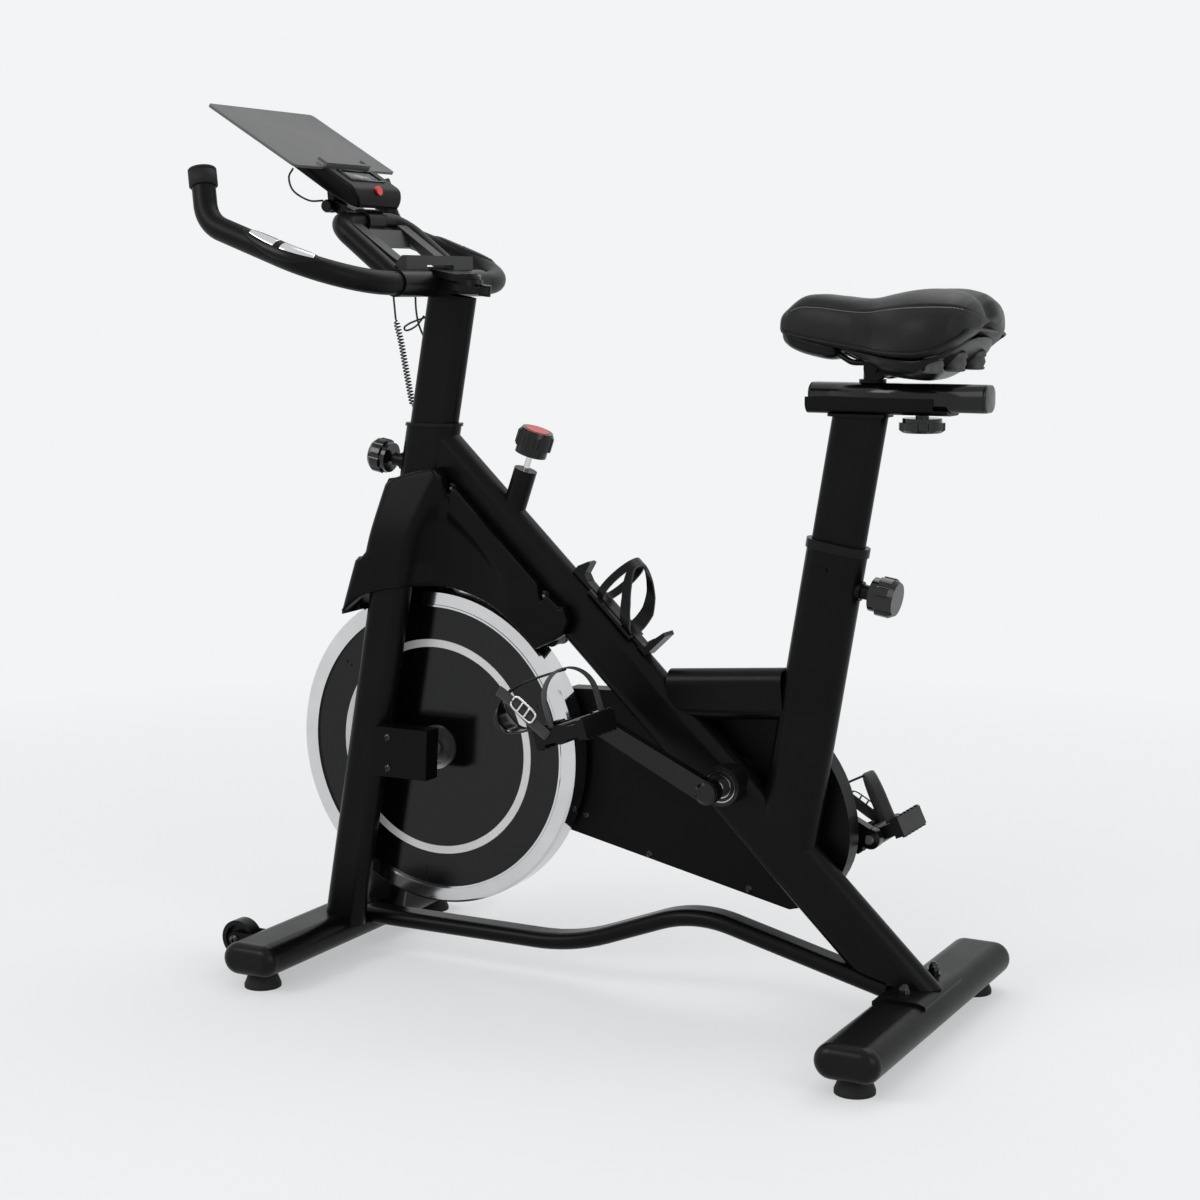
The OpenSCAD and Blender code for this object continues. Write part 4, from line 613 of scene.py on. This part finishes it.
def saddleSurface(u, a):
    # section at each distance back: a flattened half round on top, tucked under to a shallow hollow below,
    # with a channel down the middle, a notch in the tail and a groove along the seam
    shape = saddle
    back = shape["length"] * u
    half, low, high = (alongSaddle(key, back) for key in ("half", "low", "high"))
    rise, edge = high - low, shape["edgeShare"]
    c, s = np.cos(a), np.sin(a)
    aside, height = np.abs(c), np.abs(s)
    top = s > 0
    y = half * np.sign(c) * np.where(top, aside ** 0.8, (1 - shape["tuck"] * height ** 0.7) * aside ** 0.5)
    deep = shape["valley"] + shape["channel"] * ramp(back, *shape["wings"])
    channel = deep * np.exp(-(y / shape["channelWidth"]) ** 2)
    zTop = low + rise * (edge + (1 - edge) * height ** 0.72) - channel
    hollow = np.minimum(shape["hollow"], rise * shape["hollowShare"])
    zUnder = low + rise * edge * (1 - height ** 0.55) + hollow * (1 - aside) ** 1.5
    groove = np.exp(-((np.degrees(np.arctan2(s, aside)) - shape["seamAngle"]) / shape["seamWidth"]) ** 2)
    cut = shape["seamDepth"] * groove * ramp(back, *shape["seamStart"])
    y = y - cut * c
    z = np.where(top, zTop, zUnder) - cut * s
    notch = shape["notch"] * np.exp(-(y / shape["notchWidth"]) ** 2) * ramp(back, *shape["tail"]) ** 2
    return inFrame(np.stack([shape["nose"] + back - notch, y, z], -1))


def spacedRows(count, even=0.12):
    # rows closer together towards the nose and the tail
    t = np.linspace(0, 1, count)
    return 0.5 - 0.5 * np.cos(math.pi * (even * t + (1 - even) * (np.arcsin(2 * t - 1) / math.pi + 0.5)))


def buildSaddle():
    u, a = np.meshgrid(spacedRows(saddle["rows"]), ringAngles(saddle["columns"]), indexing="ij")
    points, faces = withPoles(saddleSurface(u, a))
    pad = (points, [f[::-1] for f in faces])       # these faces point inwards
    piece = addPiece("saddlePad", "saddle", [pad], "leather")
    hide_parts("saddle_cushion")


def saddleLine(angle, count, first=0.02, last=0.985):
    # line along the saddle's skin at a constant section angle
    return saddleSurface(np.linspace(first, last, count), np.full(count, math.radians(angle)))


piping = {"radius": 0.0019, "angle": -8, "count": 120, "every": 4}


def buildPiping():
    # round piping where the leather is folded over the edge of the pan, all the way round
    right, left = (saddleLine(angle, piping["count"]) for angle in (piping["angle"], 180 - piping["angle"]))
    path = np.concatenate([right, left[::-1], right[:1]])[::piping["every"]]
    tube = sweptTube(smoothPath(path, piping["every"]), piping["radius"], up=(0, 0, 1))
    addPiece("saddlePiping", "saddle", [tube], "leather")


stitching = {"aside": 2.6, "count": 72, "first": 0.09, "last": 0.95, "lift": 0.0004, "length": 0.0028,
             "thick": 0.0010, "core": 0.86}


def capsules(centres, along, normal, length, thick, sides=6, rings=5):
    # small rounded stitches: one stretched ball at each centre
    t = np.linspace(0, math.pi, rings)[1:-1, None, None]
    a = ringAngles(sides)[:, None]
    across = np.cross(normal, along)
    turn = np.cos(a) * across[:, None, None] + np.sin(a) * normal[:, None, None]
    ball = -np.cos(t) * length / 2 * along[:, None, None] + np.sin(t) * turn * thick / 2
    n = len(centres)
    body = (centres[:, None, None] + ball).reshape(n, -1, 3)
    tips = np.stack([centres - along * length / 2, centres + along * length / 2], 1)
    points = np.concatenate([body, tips], 1)
    one = ringFaces(rings - 2, sides)
    faces = [[i + j * points.shape[1] for i in f] for j in range(n) for f in one]
    return points.reshape(-1, 3), faces


def buildStitches():
    # a row of stitches above the seam on each flank, standing out from a line through the saddle's core
    shape = stitching
    parts = []
    angle = saddle["seamAngle"] - shape["aside"]
    for where in (angle, 180 - angle):
        line = saddleLine(where, shape["count"], shape["first"], shape["last"])
        along = pathFrames(line, (0, 0, 1))[0]
        outward = unit(line * [0, 1, 1] - [0, 0, shape["core"]])
        outward = unit(outward - along * (outward * along).sum(1)[:, None])
        centres = line + outward * shape["lift"]
        parts.append(capsules(centres, along, outward, shape["length"], shape["thick"]))
    addPiece("saddleStitches", "saddle", parts, "thread")


buildSaddle()
buildPiping()
buildStitches()
print("made the saddle")


# ---- front cover ----

frontCover = {
    "archRadius": 218, "archFrom": 113, "archTo": 42, "wall": 0.0022, "lip": 12, "lipFrom": -224,
    "front": [[-366, 474], [-343, 545], [-327, 556], [-306, 645], [-297, 652], [-240, 667], [-219, 653],
              [-72, 512], [-50, 499], [-41, 480]],
    "lobe": [[-89, 443], [-62, 455], [-47, 464], [-41, 480]],
    "notches": [[[-222, 654.5], [-218.5, 635], [-210, 644.5]], [[-86, 525.5], [-81, 505.5], [-73, 513]]],
    "tabs": [[-216, 30, 641], [-79, 30, 510]],
    "narrow": 38, "wide": 72, "step": -231, "stepAbove": 545, "stepLean": 0.2, "stepOver": 40,
    "leanWidth": 72.5, "leanFrom": 578.6, "lean": 0.268, "blend": 5,
    "nose": 13, "noseShare": 0.8, "edge": 6, "edgeDepth": 5,
    "scoopDepth": 7, "scoopAt": -229, "scoopTop": 611, "scoopFall": 92, "scoopFront": 33, "scoopBack": 102,
    "scoopRim": 26, "scoopStart": (-270, 12), "scoopEnd": (-172, 55),
    "along": 230, "across": 64, "rimPoints": 400,
}


def fallenAway(share):
    # how far a quarter circle has dropped: 1 at its edge, 0 where the share reaches 1
    return 1 - np.sqrt(1 - (1 - np.clip(share, 0, 1)) ** 2)


def coverHalfWidth(x, z, edge):
    # wide over the fork legs, narrow beside the main tube, leaning in towards the top,
    # rounded to a nose in front, with an arched scoop in its side and a rounded rim
    shape = frontCover
    step = shape["step"] + np.maximum(0, z - shape["stepAbove"]) * shape["stepLean"]
    width = shape["narrow"] + (shape["wide"] - shape["narrow"]) * softRamp(step, x, shape["stepOver"])
    lean = shape["leanWidth"] - shape["lean"] * (z - shape["leanFrom"])
    width = (width + lean - np.sqrt((width - lean) ** 2 + shape["blend"] ** 2)) / 2
    ahead = x < shape["scoopAt"]
    across = np.clip((x - shape["scoopAt"]) / np.where(ahead, shape["scoopFront"], shape["scoopBack"]), -1, 1)
    top = shape["scoopTop"] - shape["scoopFall"] * np.abs(across) ** np.where(ahead, 2.6, 1.25)
    inside = softRamp(top, z - shape["scoopRim"] / 2, shape["scoopRim"])
    inside = inside * softRamp(x, *shape["scoopStart"]) * (1 - softRamp(x, *shape["scoopEnd"]))
    front = np.array(shape["front"][:5])
    nose = fallenAway((x - np.interp(z, front[:, 1], front[:, 0])) / shape["nose"])
    rim = fallenAway(edge / shape["edge"])
    fall = np.maximum(shape["nose"] * shape["noseShare"] * nose, shape["edgeDepth"] * rim)
    return width - shape["scoopDepth"] * inside - fall


def buildFrontCover():
    # each side spans from the lower rim to the upper one, and a lip turns in at both
    shape = frontCover
    a = np.radians(np.linspace(shape["archFrom"], shape["archTo"], 60))
    arch = np.array(wheelAxle)[[0, 2]] + shape["archRadius"] * np.stack([np.cos(a), np.sin(a)], 1)
    lower = evenly(np.concatenate([[shape["front"][0]], arch, shape["lobe"]]), shape["along"])
    rim = evenly(smoothPath(shape["front"], 6), shape["rimPoints"])
    for notch in shape["notches"]:
        first, last = (np.argmin(np.linalg.norm(rim - corner, axis=1)) for corner in (notch[0], notch[-1]))
        rim = np.concatenate([rim[:first], notch, rim[last + 1:]])
    upper = evenly(rim, shape["along"])
    v = cosineSpaced(shape["across"])[:, None]
    flat = lower[:, None] * (1 - v) + upper[:, None] * v
    gap = np.linalg.norm(upper - lower, axis=1)[:, None]
    x, z = flat[..., 0], flat[..., 1]
    half = coverHalfWidth(x, z, np.minimum(v, 1 - v)[:, 0] * gap)
    lip = half[:, [0, -1]] - shape["lip"]
    lip[:, 1] = np.where(upper[:, 0] < shape["lipFrom"], 0, lip[:, 1])
    half = np.concatenate([lip[:, :1], half, lip[:, 1:]], 1)
    x, z = (np.concatenate([q[:, :1], q, q[:, -1:]], 1) for q in (x, z))
    faces = gridFaces(*x.shape, closeColumns=False)
    parts = []
    for side in (-1, 1):
        grid = np.stack([x, side * np.maximum(half, 0.02), z], -1)
        parts.append((inFrame(grid).reshape(-1, 3), faces[:, ::side]))
    piece = addPiece("frontCoverShell", "frame", parts, "guard")
    addWall(piece, shape["wall"])
    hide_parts("front_cover")


def buildStuds(name, profile, finishName):
    # turned heads standing out to both sides at the cover's two tabs
    parts = turnedPairs(frontCover["tabs"], (0, 1, 0), profile, 28)
    addPiece(name, "frame", parts, finishName)


buildFrontCover()
buildStuds("coverTabs", [[-6, 0.01], [-6, 8], [-0.6, 8], [0, 7.4], [0, 0.01]], "guard")
buildStuds("coverTabScrews", [[-1, 0.01], [-1, 3.2], [1.2, 3.0], [2, 1.8], [2, 0.01]], "zinc")
print("made the front cover")


# ---- handlebar fittings ----

barLine = {
    "points": [[-250, 0, 904], [-250, -214, 904], [-457, -211, 978], [-474, -197, 1044]], "bends": [100, 45],
    "radius": 15, "pad": (-361.7, -220.8, 956), "padFace": (0, -0.35, 0.75), "padShare": 0.985,
    "padLength": 60, "padWidth": 19.5, "padHeight": 2.4, "sunk": 0.3,
    "plateGap": 4.5, "plateShare": 0.76, "plateHalf": 0.50, "plateAside": 0.10, "plateHeight": 2.9,
    "pulseBezel": 0.0006, "pulsePlates": 0.0004,
    "cap": [[-22, 15.2], [-22, 17.2], [-21, 18], [-3.4, 18], [-3.2, 17.5], [-2.6, 17.5], [-2.4, 18],
            [0.2, 17.9], [1.6, 16.8], [2, 15], [2, 0.01]],
}


def padPatch(line, start, outward, s, q, height):
    # a patch of the bar's skin: s runs along the bar, and q round it from -1 to 1 over the patch's width
    radius = barLine["radius"] + height
    width = barLine["padWidth"] * (1 - (s / barLine["padLength"]) ** 2)
    angle = (q * width / radius)[..., None]
    place = distances(line)
    centre, along = (pointsAt(p, place, place[start] + s) for p in (line, np.gradient(line, axis=0)))
    across = unit(np.cross(unit(along), outward))
    over = np.cross(across, unit(along))
    return centre + radius[..., None] * (np.cos(angle) * over + np.sin(angle) * across)


def buildBarFittings():
    shape = barLine
    line = roundedPath(shape["points"], shape["bends"])
    i = np.argmin(np.linalg.norm(line - shape["pad"], axis=1))
    along = unit(line[i + 1] - line[i - 1])
    outward = shape["pad"] - line[i]
    outward = unit(outward - along * (outward @ along)) + shape["padFace"]
    outward = unit(outward - along * (outward @ along))
    run = np.linspace(-shape["padShare"], shape["padShare"], 60) * shape["padLength"]
    s, q = np.meshgrid(run, np.linspace(-1, 1, 33), indexing="ij")
    crown = shape["padHeight"] * (1 - q ** 8) * (1 - (s / shape["padLength"]) ** 8) - shape["sunk"]
    bezel = padPatch(line, i, outward, s, q, crown)
    plates = []
    for side in (-1, 1):
        run = np.linspace(shape["plateGap"], shape["plateShare"] * shape["padLength"], 30) * side
        s, q = np.meshgrid(run, np.linspace(-1, 1, 25), indexing="ij")
        crown = shape["plateHeight"] * (1 - q ** 10) - shape["sunk"]
        plates.append(padPatch(line, i, outward, s, q * shape["plateHalf"] + shape["plateAside"], crown))
    cap = revolved(line[-1], unit(line[-1] - line[-4]), shape["cap"], 48)
    pads = (("pulseBezel", [bezel], "plastic"), ("pulsePlates", plates, "chrome"))
    for mirror, side in ((1, "Left"), (-1, "Right")):
        flip = np.array([1, mirror, 1])
        for name, grids, finishName in pads:
            sheets = [openSheet(inFrame(grid * flip), inFrame(line[i] * flip)) for grid in grids]
            piece = addPiece(name + side, "handlebar_assembly", sheets, finishName)
            addWall(piece, shape[name])
        sleeve = (inFrame(cap * flip).reshape(-1, 3), gridFaces(*cap.shape[:2])[:, ::mirror])
        piece = addPiece("barEndCap" + side, "handlebar_assembly", [sleeve], "rubber")
        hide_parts("bar_fittings")


buildBarFittings()
print("made the handlebar fittings")


# ---- under the saddle ----

underSaddle = {
    "noseSkirt": ([3, 84], [17, 17]), "rearSkirt": ([80, 128, 150, 196, 216, 250], [2, 14, 23, 24, 14, 6]),
    "widthShare": 0.88, "endShare": 0.25, "sunk": 4, "rows": 60, "columns": 72,
    "elastomers": [(461, 34, 813), (447, 70, 812), (404, 25, 814)], "elastomerScale": 14 / 13,
    "elastomer": [[-9, 0.01], [-9, 9], [-8, 11], [-6.5, 11.5], [-5.5, 10], [0, 12.2], [5.5, 11], [6.5, 12.6],
                  [8, 12.8], [12, 12.6], [13, 11.5], [13, 0.01]],
}


def panSurface(u, a, stations, depths):
    # half an ellipse hung below the leather's edge, closed above inside the padding, fading out at both ends
    shape = underSaddle
    back = stations[0] + (stations[-1] - stations[0]) * u
    depth = np.interp(back, stations, depths)
    fade = np.sqrt(np.clip(1 - np.abs(2 * u - 1) ** 6, 0, 1))
    c, s = np.cos(a), np.sin(a)
    narrowing = shape["endShare"] + (1 - shape["endShare"]) * fade
    y = shape["widthShare"] * alongSaddle("half", back) * np.sign(c) * np.abs(c) ** 0.7 * narrowing
    drop = np.where(s > 0, shape["sunk"] * s, -depth * np.abs(s) ** 0.7) * fade
    return inFrame(np.stack([saddle["nose"] + back, y, alongSaddle("low", back) + shape["sunk"] + drop], -1))


def buildPan():
    shape = underSaddle
    u, a = np.meshgrid(np.linspace(0, 1, shape["rows"]), ringAngles(shape["columns"]), indexing="ij")
    skirts = [closedTube(panSurface(u, a, *shape[key])) for key in ("noseSkirt", "rearSkirt")]
    piece = addPiece("saddlePanShell", "saddle", skirts, "plastic")
    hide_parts("saddle_pan")
    profile = [[height, r * shape["elastomerScale"]] for height, r in shape["elastomer"]]
    parts = turnedPairs(shape["elastomers"], (0, 0, 1), profile, 36)
    addPiece("saddleElastomers", "saddle", parts, "elastomer")


buildPan()


# ---- console ----

console = {
    "outline": [[-385, 1052.5], [-343, 1027], [-338, 1012], [-341, 999], [-358, 1005], [-385, 1021],
                [-437, 1054], [-473, 1082], [-475, 1099], [-393, 1050]],
    "bends": [3, 14, 20, 5, 20, 20, 20, 3, 2.5, 2], "round": 3.0,
    "halfLow": 41, "halfHigh": 55, "narrowAt": 990, "wideAt": 1022,
    "lug": [[-397, 998], [-412, 1001], [-416, 1045], [-392, 1030]], "lugHalf": 11.9,
    "glass": (24, 0, 30, 8.2, 2.0, 2.9), "frameHalf": (37, 13), "frameBar": 2.2, "frameHeight": (2.0, 4.0),
    "sill": 0.7,
}


def onConsole(down, aside, halfAside, halfDown, low, high):
    # a box by its centre, half sizes and heights in the sloping face's directions: down the face, aside, out
    c, s = math.cos(panelTilt), math.sin(panelTilt)
    ring = ((-1, -1), (1, -1), (1, 1), (-1, 1))
    corners = [[down + i * halfDown, aside + j * halfAside, k] for k in (low, high) for i, j in ring]
    x, y, z = np.array(corners).T / 1000
    points = np.stack([panelLow[0] + x * c + z * s, y, panelLow[2] - x * s + z * c], 1)
    return solid(points, [[0, 3, 2, 1], [4, 5, 6, 7], [0, 1, 5, 4], [1, 2, 6, 5], [2, 3, 7, 6], [3, 0, 4, 7]])


def prism(outline, halves, insets):
    # an outline seen from the side, carried from one flank to the other and drawn in at both
    p = np.asarray(outline, float)
    along = np.roll(p, -1, 0) - np.roll(p, 1, 0)
    normal = unit(np.stack([along[:, 1], -along[:, 0]], 1))
    grid = []
    for share, inset in insets:
        flat = p + normal * inset
        grid.append(np.stack([flat[:, 0], share * np.asarray(halves), flat[:, 1]], 1))
    rows, columns = len(insets), len(p)
    faces = gridFaces(rows, columns).tolist()
    faces += [list(range(columns))[::-1], list(range((rows - 1) * columns, rows * columns))]
    return solid(inFrame(np.concatenate(grid)), faces)


def buildConsole():
    # the case with rounded flanks and its lug, then the raised frame round the display, and the glass in it
    shape = console
    corners = np.array(shape["outline"], float)
    middle = (corners[0] + corners[-1]) / 2
    outline = roundedPath([middle, *corners, middle], shape["bends"])[:-1]
    after = np.roll(outline, -1, 0)
    area = np.sum(outline[:, 0] * after[:, 1] - after[:, 0] * outline[:, 1])
    rise = ramp(outline[:, 1], shape["narrowAt"], shape["wideAt"] - shape["narrowAt"])
    halves = shape["halfLow"] + (shape["halfHigh"] - shape["halfLow"]) * rise
    deep = math.copysign(shape["round"], -area)
    flank = []
    for t in np.linspace(0, math.pi / 2, 5):
        flank.append((1 - (1 - math.sin(t)) * shape["round"] / shape["halfHigh"], deep * (1 - math.cos(t))))
    insets = [(-share, inset) for share, inset in flank] + [(-0.9 + 0.2 * i, 0) for i in range(10)] + flank
    case = prism(outline, halves, sorted(insets))
    lug = prism(shape["lug"], np.full(4, shape["lugHalf"]), [(-1, 0), (1, 0)])
    piece = addPiece("consoleCase", "console_unit", [case, lug], "guard")
    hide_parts("console")
    halfAside, halfDown = shape["frameHalf"]
    bar, (low, high) = shape["frameBar"], shape["frameHeight"]
    centre = shape["glass"][0]
    bars = [onConsole(centre + side * halfDown, 0, halfAside, bar / 2, low, high) for side in (-1, 1)]
    bars += [onConsole(centre, side * halfAside, bar / 2, halfDown + bar / 2, low, high) for side in (-1, 1)]
    bars.append(onConsole(centre, 0, halfAside, halfDown, low, low + shape["sill"]))
    addPiece("consoleFrame", "console_unit", bars, "shiny")
    addPiece("consoleGlass", "console_unit", [onConsole(*shape["glass"])], "glass")


buildConsole()


# ---- sliding bar under the saddle ----

slider = {
    "halfWidth": 20, "low": 755.5, "high": 788, "corner": 13, "sides": 18,
    "leastCorner": 0.3, "leastFlat": 0.05,
    "rings": [(291.4, 20), (291.4, 3.2), (291.9, 1.4), (293.0, 0.2), (294.2, 0), (294.3, 0.7), (294.7, 0.7),
              (294.8, 0), (507.0, 0), (507.1, 0.7), (507.5, 0.7), (507.6, 0), (509.0, 0.2), (510.0, 1.4),
              (510.4, 3.2), (510.4, 20)],
}


def buildSlider():
    # an oblong section with round corners, drawn in at the seams of its end caps and closed at its ends;
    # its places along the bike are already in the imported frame
    shape = slider
    a = (np.arange(shape["sides"] * 4) + 0.5) * math.pi / 2 / shape["sides"]
    c, s = np.cos(a), np.sin(a)
    middle, high = (shape["high"] + shape["low"]) / 2, (shape["high"] - shape["low"]) / 2
    rings = []
    for x, inset in shape["rings"]:
        corner = max(shape["corner"] - inset, shape["leastCorner"])
        flatY = max(shape["halfWidth"] - inset - corner, shape["leastFlat"])
        flatZ = max(high - inset - corner, shape["leastFlat"])
        y = np.sign(c) * flatY + corner * c
        z = middle + np.sign(s) * flatZ + corner * s
        rings.append(np.stack([np.full_like(a, x), y, z], 1))
    piece = addPiece("sliderTubeBar", "saddle", [closedTube(np.array(rings) / 1000)], "gloss")
    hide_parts("slider_tube")


buildSlider()


# ---- pedals ----

pedal = {
    "tilt": {"left": 17, "right": 25}, "inner": 90, "length": 80,
    "clip": [[-28, 14], [-50, 13.2], [-72, 13], [-88, 18], [-97, 32], [-96, 46], [-86, 59], [-66, 67.5],
             [-38, 71.5], [-8, 73.2], [6, 73.4]],
    "clipWide": 23, "clipNarrow": 6.5, "clipTaper": (0.34, 0.26), "clipThick": 3.0,
    "strapWidth": 14, "strapThick": 2, "strapTurn": 30, "strapBack": 5, "strapRadius": 37, "strapFoot": 9,
    "strapSide": 38.4,
    "tail": [[-16, 2, -81], [-30, 20, -81.2], [-45, 42, -81.4], [-59, 62, -82.2], [-66, 70, -82.6]],
    "buckleLong": 36, "buckleWide": 16, "buckleWire": 1.4, "buckleAt": (-38, 40), "buckleTurn": 126,
    "buckleOut": -83.8, "bars": (-6, 5), "barHalf": 7.2, "barOut": -84.3,
}


def pedalPlace(local, side):
    # pedal coordinates (back, up, in or out) turned about its spindle and set on its crank
    swing = -1 if side == "left" else 1
    tilt = math.radians(pedal["tilt"][side])
    c, s = math.cos(tilt), math.sin(tilt)
    x, y, z = np.moveaxis(np.asarray(local, float), -1, 0)
    spindleX = crankAxle[0] + swing * crankLength * math.cos(crankAngle)
    spindleZ = crankAxle[2] - swing * crankLength * math.sin(crankAngle)
    aside = (pedal["inner"] - z) * swing
    return inFrame(np.stack([spindleX + x * c - y * s, aside, spindleZ + x * s + y * c], -1))


def bandAlong(path, widths, thick, sideways, normals, count=7):
    # a strap with rounded edges carried along a path, and its UV map in metres:
    # sideways and normals are the section's two directions at each point
    w = np.concatenate([np.linspace(-1, 1, count), np.linspace(1, -1, count)])
    t = np.repeat([1.0, -1.0], count) * thick / 2 * np.sqrt(np.clip(1.02 - np.abs(w) ** 8, 0, 1))
    across = w * widths[:, None]
    grid = path[:, None] + sideways[:, None] * across[..., None] + normals[:, None] * t[:, None]
    along = np.repeat(distances(path)[:, None], len(w), 1)
    return grid, np.stack([along, across], -1) / 1000


def addWeave(piece, uv):
    layer = piece.data.uv_layers.new(name="weave")
    corners = np.zeros(len(piece.data.loops), dtype=np.int32)
    piece.data.loops.foreach_get("vertex_index", corners)
    layer.data.foreach_set("uv", uv[corners].astype(np.float32).ravel())


def planeNormals(path, sideways):
    return unit(np.cross(np.gradient(path, axis=0), sideways))


def buildClip(side):
    shape = pedal
    path = smoothPath([[x, y, -shape["length"] / 2] for x, y in shape["clip"]], 7)
    sideways = np.tile([0.0, 0, 1.0], (len(path), 1))
    narrowing = softRamp(np.linspace(0, 1, len(path)), *shape["clipTaper"])
    widths = shape["clipNarrow"] + (shape["clipWide"] - shape["clipNarrow"]) * (1 - narrowing)
    grid = bandAlong(path, widths, shape["clipThick"], sideways, planeNormals(path, sideways))[0]
    tube = closedTube(pedalPlace(grid, side))
    piece = addPiece("toeClip" + side.capitalize(), side + "_pedal", [tube], "shiny")
    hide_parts("toe_clip_" + side)


def strapArch():
    # up one side, over in a half circle and down the other, in a plane turned about the upright
    shape = pedal
    turn, r = math.radians(shape["strapTurn"]), shape["strapRadius"]
    t = np.linspace(0, math.pi, 60)
    rise = np.linspace(shape["strapFoot"], shape["strapSide"], 12)[:-1]
    aside = np.concatenate([np.full_like(rise, -r), -r * np.cos(t), np.full_like(rise, r)])
    up = np.concatenate([rise, shape["strapSide"] + r * np.sin(t), rise[::-1]])
    back = shape["strapBack"] + aside * math.sin(turn)
    path = np.stack([back, up, aside * math.cos(turn) - shape["length"] / 2], 1)
    sideways = np.tile([math.cos(turn), 0, -math.sin(turn)], (len(path), 1))
    return path, sideways, planeNormals(path, sideways)


def strapTail():
    # the loose end, lying against the pedal's outer side
    path = smoothPath(pedal["tail"], 8)
    outward = np.tile([0.0, 0, -1.0], (len(path), 1))
    return path, np.cross(pathFrames(path)[0], outward), outward


def buildStrap(side):
    shape = pedal
    parts, uvs = [], []
    for path, sideways, normals in (strapArch(), strapTail()):
        widths = np.full(len(path), shape["strapWidth"] / 2)
        grid, uv = bandAlong(path, widths, shape["strapThick"], sideways, normals)
        parts.append(closedTube(pedalPlace(grid, side)))
        uvs += [uv.reshape(-1, 2), uv[0].mean(0)[None], uv[-1].mean(0)[None]]
    piece = addPiece("toeStrap" + side.capitalize(), side + "_pedal", parts, "webbing")
    addWeave(piece, np.concatenate(uvs))
    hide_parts("toe_strap_" + side)


def onBuckle(x, y, out):
    # a place in the buckle's own plane, in pedal coordinates
    turn = math.radians(pedal["buckleTurn"])
    atX, atY = pedal["buckleAt"]
    c, s = math.cos(turn), math.sin(turn)
    return np.stack([atX + x * c - y * s, atY + x * s + y * c, np.full_like(x, out)], 1)


def buildBuckle(side):
    # sprung wire buckle: a rounded loop with two bars across it
    shape = pedal
    t = np.linspace(0, 2 * math.pi, 97)[:-1]
    c, s = np.cos(t), np.sin(t)
    loop = onBuckle(shape["buckleLong"] / 2 * np.sign(c) * np.abs(c) ** 0.45,
                    shape["buckleWide"] / 2 * np.sign(s) * np.abs(s) ** 0.45, shape["buckleOut"])
    wires = [np.concatenate([loop, loop[:2]])]
    span = np.linspace(-shape["barHalf"], shape["barHalf"], 9)
    for x in shape["bars"]:
        wires.append(onBuckle(np.full_like(span, x), span, shape["barOut"]))
    parts = []
    for wire in wires:
        points, faces = sweptTube(wire, shape["buckleWire"], 10, up=(0, 0, 1))
        parts.append(solid(pedalPlace(points, side), faces))
    addPiece("toeBuckle" + side.capitalize(), side + "_pedal", parts, "chrome")


for side in ("left", "right"):
    buildClip(side)
    buildStrap(side)
    buildBuckle(side)
print("made the pedals' clips and straps")


# ---- floor, light and background ----

studio = {"floor": 5.0, "clearFrom": 0.95, "clearTo": 2.4, "worldLight": 0.62,
          "nearGlow": 0.45, "backdrop": (0.888, 0.904, 0.913), "aim": (0, 0, 0.55)}
lamps = {                      # place, size and power
    "keyLamp": ((-1.6, -2.4, 2.4), 1.4, 34.0),
    "fillLamp": ((2.6, -1.2, 1.6), 1.6, 16.0),
    "topLamp": ((0.3, 1.2, 2.8), 1.8, 20.0),
}


def backgroundRays(tree):
    # 1 for what the camera sees directly, in a mirror or through glass
    path = addNode(tree, "LightPath")
    seen = maths(tree, "MAXIMUM", path.outputs["Is Camera Ray"], path.outputs["Is Glossy Ray"])
    return maths(tree, "MAXIMUM", seen, path.outputs["Is Transmission Ray"])


def mixShaders(tree, share, first, second, output):
    mix = addNode(tree, "MixShader")
    for entry, value in zip(mix.inputs, (share, first.outputs[0], second.outputs[0])):
        give(entry, value)
    setInputs(output, Surface=mix.outputs["Shader"])


def buildFloor():
    size = studio["floor"]
    corners = [(-size, -size, 0), (size, -size, 0), (size, size, 0), (-size, size, 0)]
    mesh = bpy.data.meshes.new("studioFloor")
    mesh.from_pydata(corners, [], [(0, 1, 2, 3)])
    floor = addObject("studioFloor", mesh)
    material, tree, shader, vector = startMaterial("studioFloor")
    setInputs(shader, Base_Color=(0.84, 0.85, 0.86, 1), Roughness=0.85)
    glow = addNode(tree, "Emission")
    setInputs(glow, Color=(*studio["backdrop"], 1))
    across = fromAxis(tree, vector, (1, 1, 0))
    far = mapTo(tree, across, studio["nearGlow"], 1.0, studio["clearFrom"], studio["clearTo"])
    output = [n for n in tree.nodes if n.type == "OUTPUT_MATERIAL"][0]
    mixShaders(tree, maths(tree, "MULTIPLY", far, backgroundRays(tree)), shader, glow, output)
    mesh.materials.append(material)


def buildWorld():
    world = bpy.data.worlds.new("studioWorld")
    bpy.context.scene.world = world
    world.use_nodes = True
    tree = world.node_tree
    tree.nodes.clear()
    light, backdrop = addNode(tree, "Background"), addNode(tree, "Background")
    setInputs(light, Color=(1, 1, 1, 1), Strength=studio["worldLight"])
    setInputs(backdrop, Color=(*studio["backdrop"], 1))
    mixShaders(tree, backgroundRays(tree), light, backdrop, addNode(tree, "OutputWorld"))


def addLamp(name, place, size, power):
    data = bpy.data.lights.new(name, "AREA")
    data.size = size
    data.energy = power
    lamp = addObject(name, data)
    lamp.location = place
    toward = unit(np.subtract(studio["aim"], place))
    lamp.rotation_euler = (math.acos(-toward[2]), 0, math.atan2(-toward[0], toward[1]))


buildFloor()
buildWorld()
for lampName, row in lamps.items():
    addLamp(lampName, *row)
bpy.context.scene.view_settings.view_transform = "Standard"
print("lit the studio")
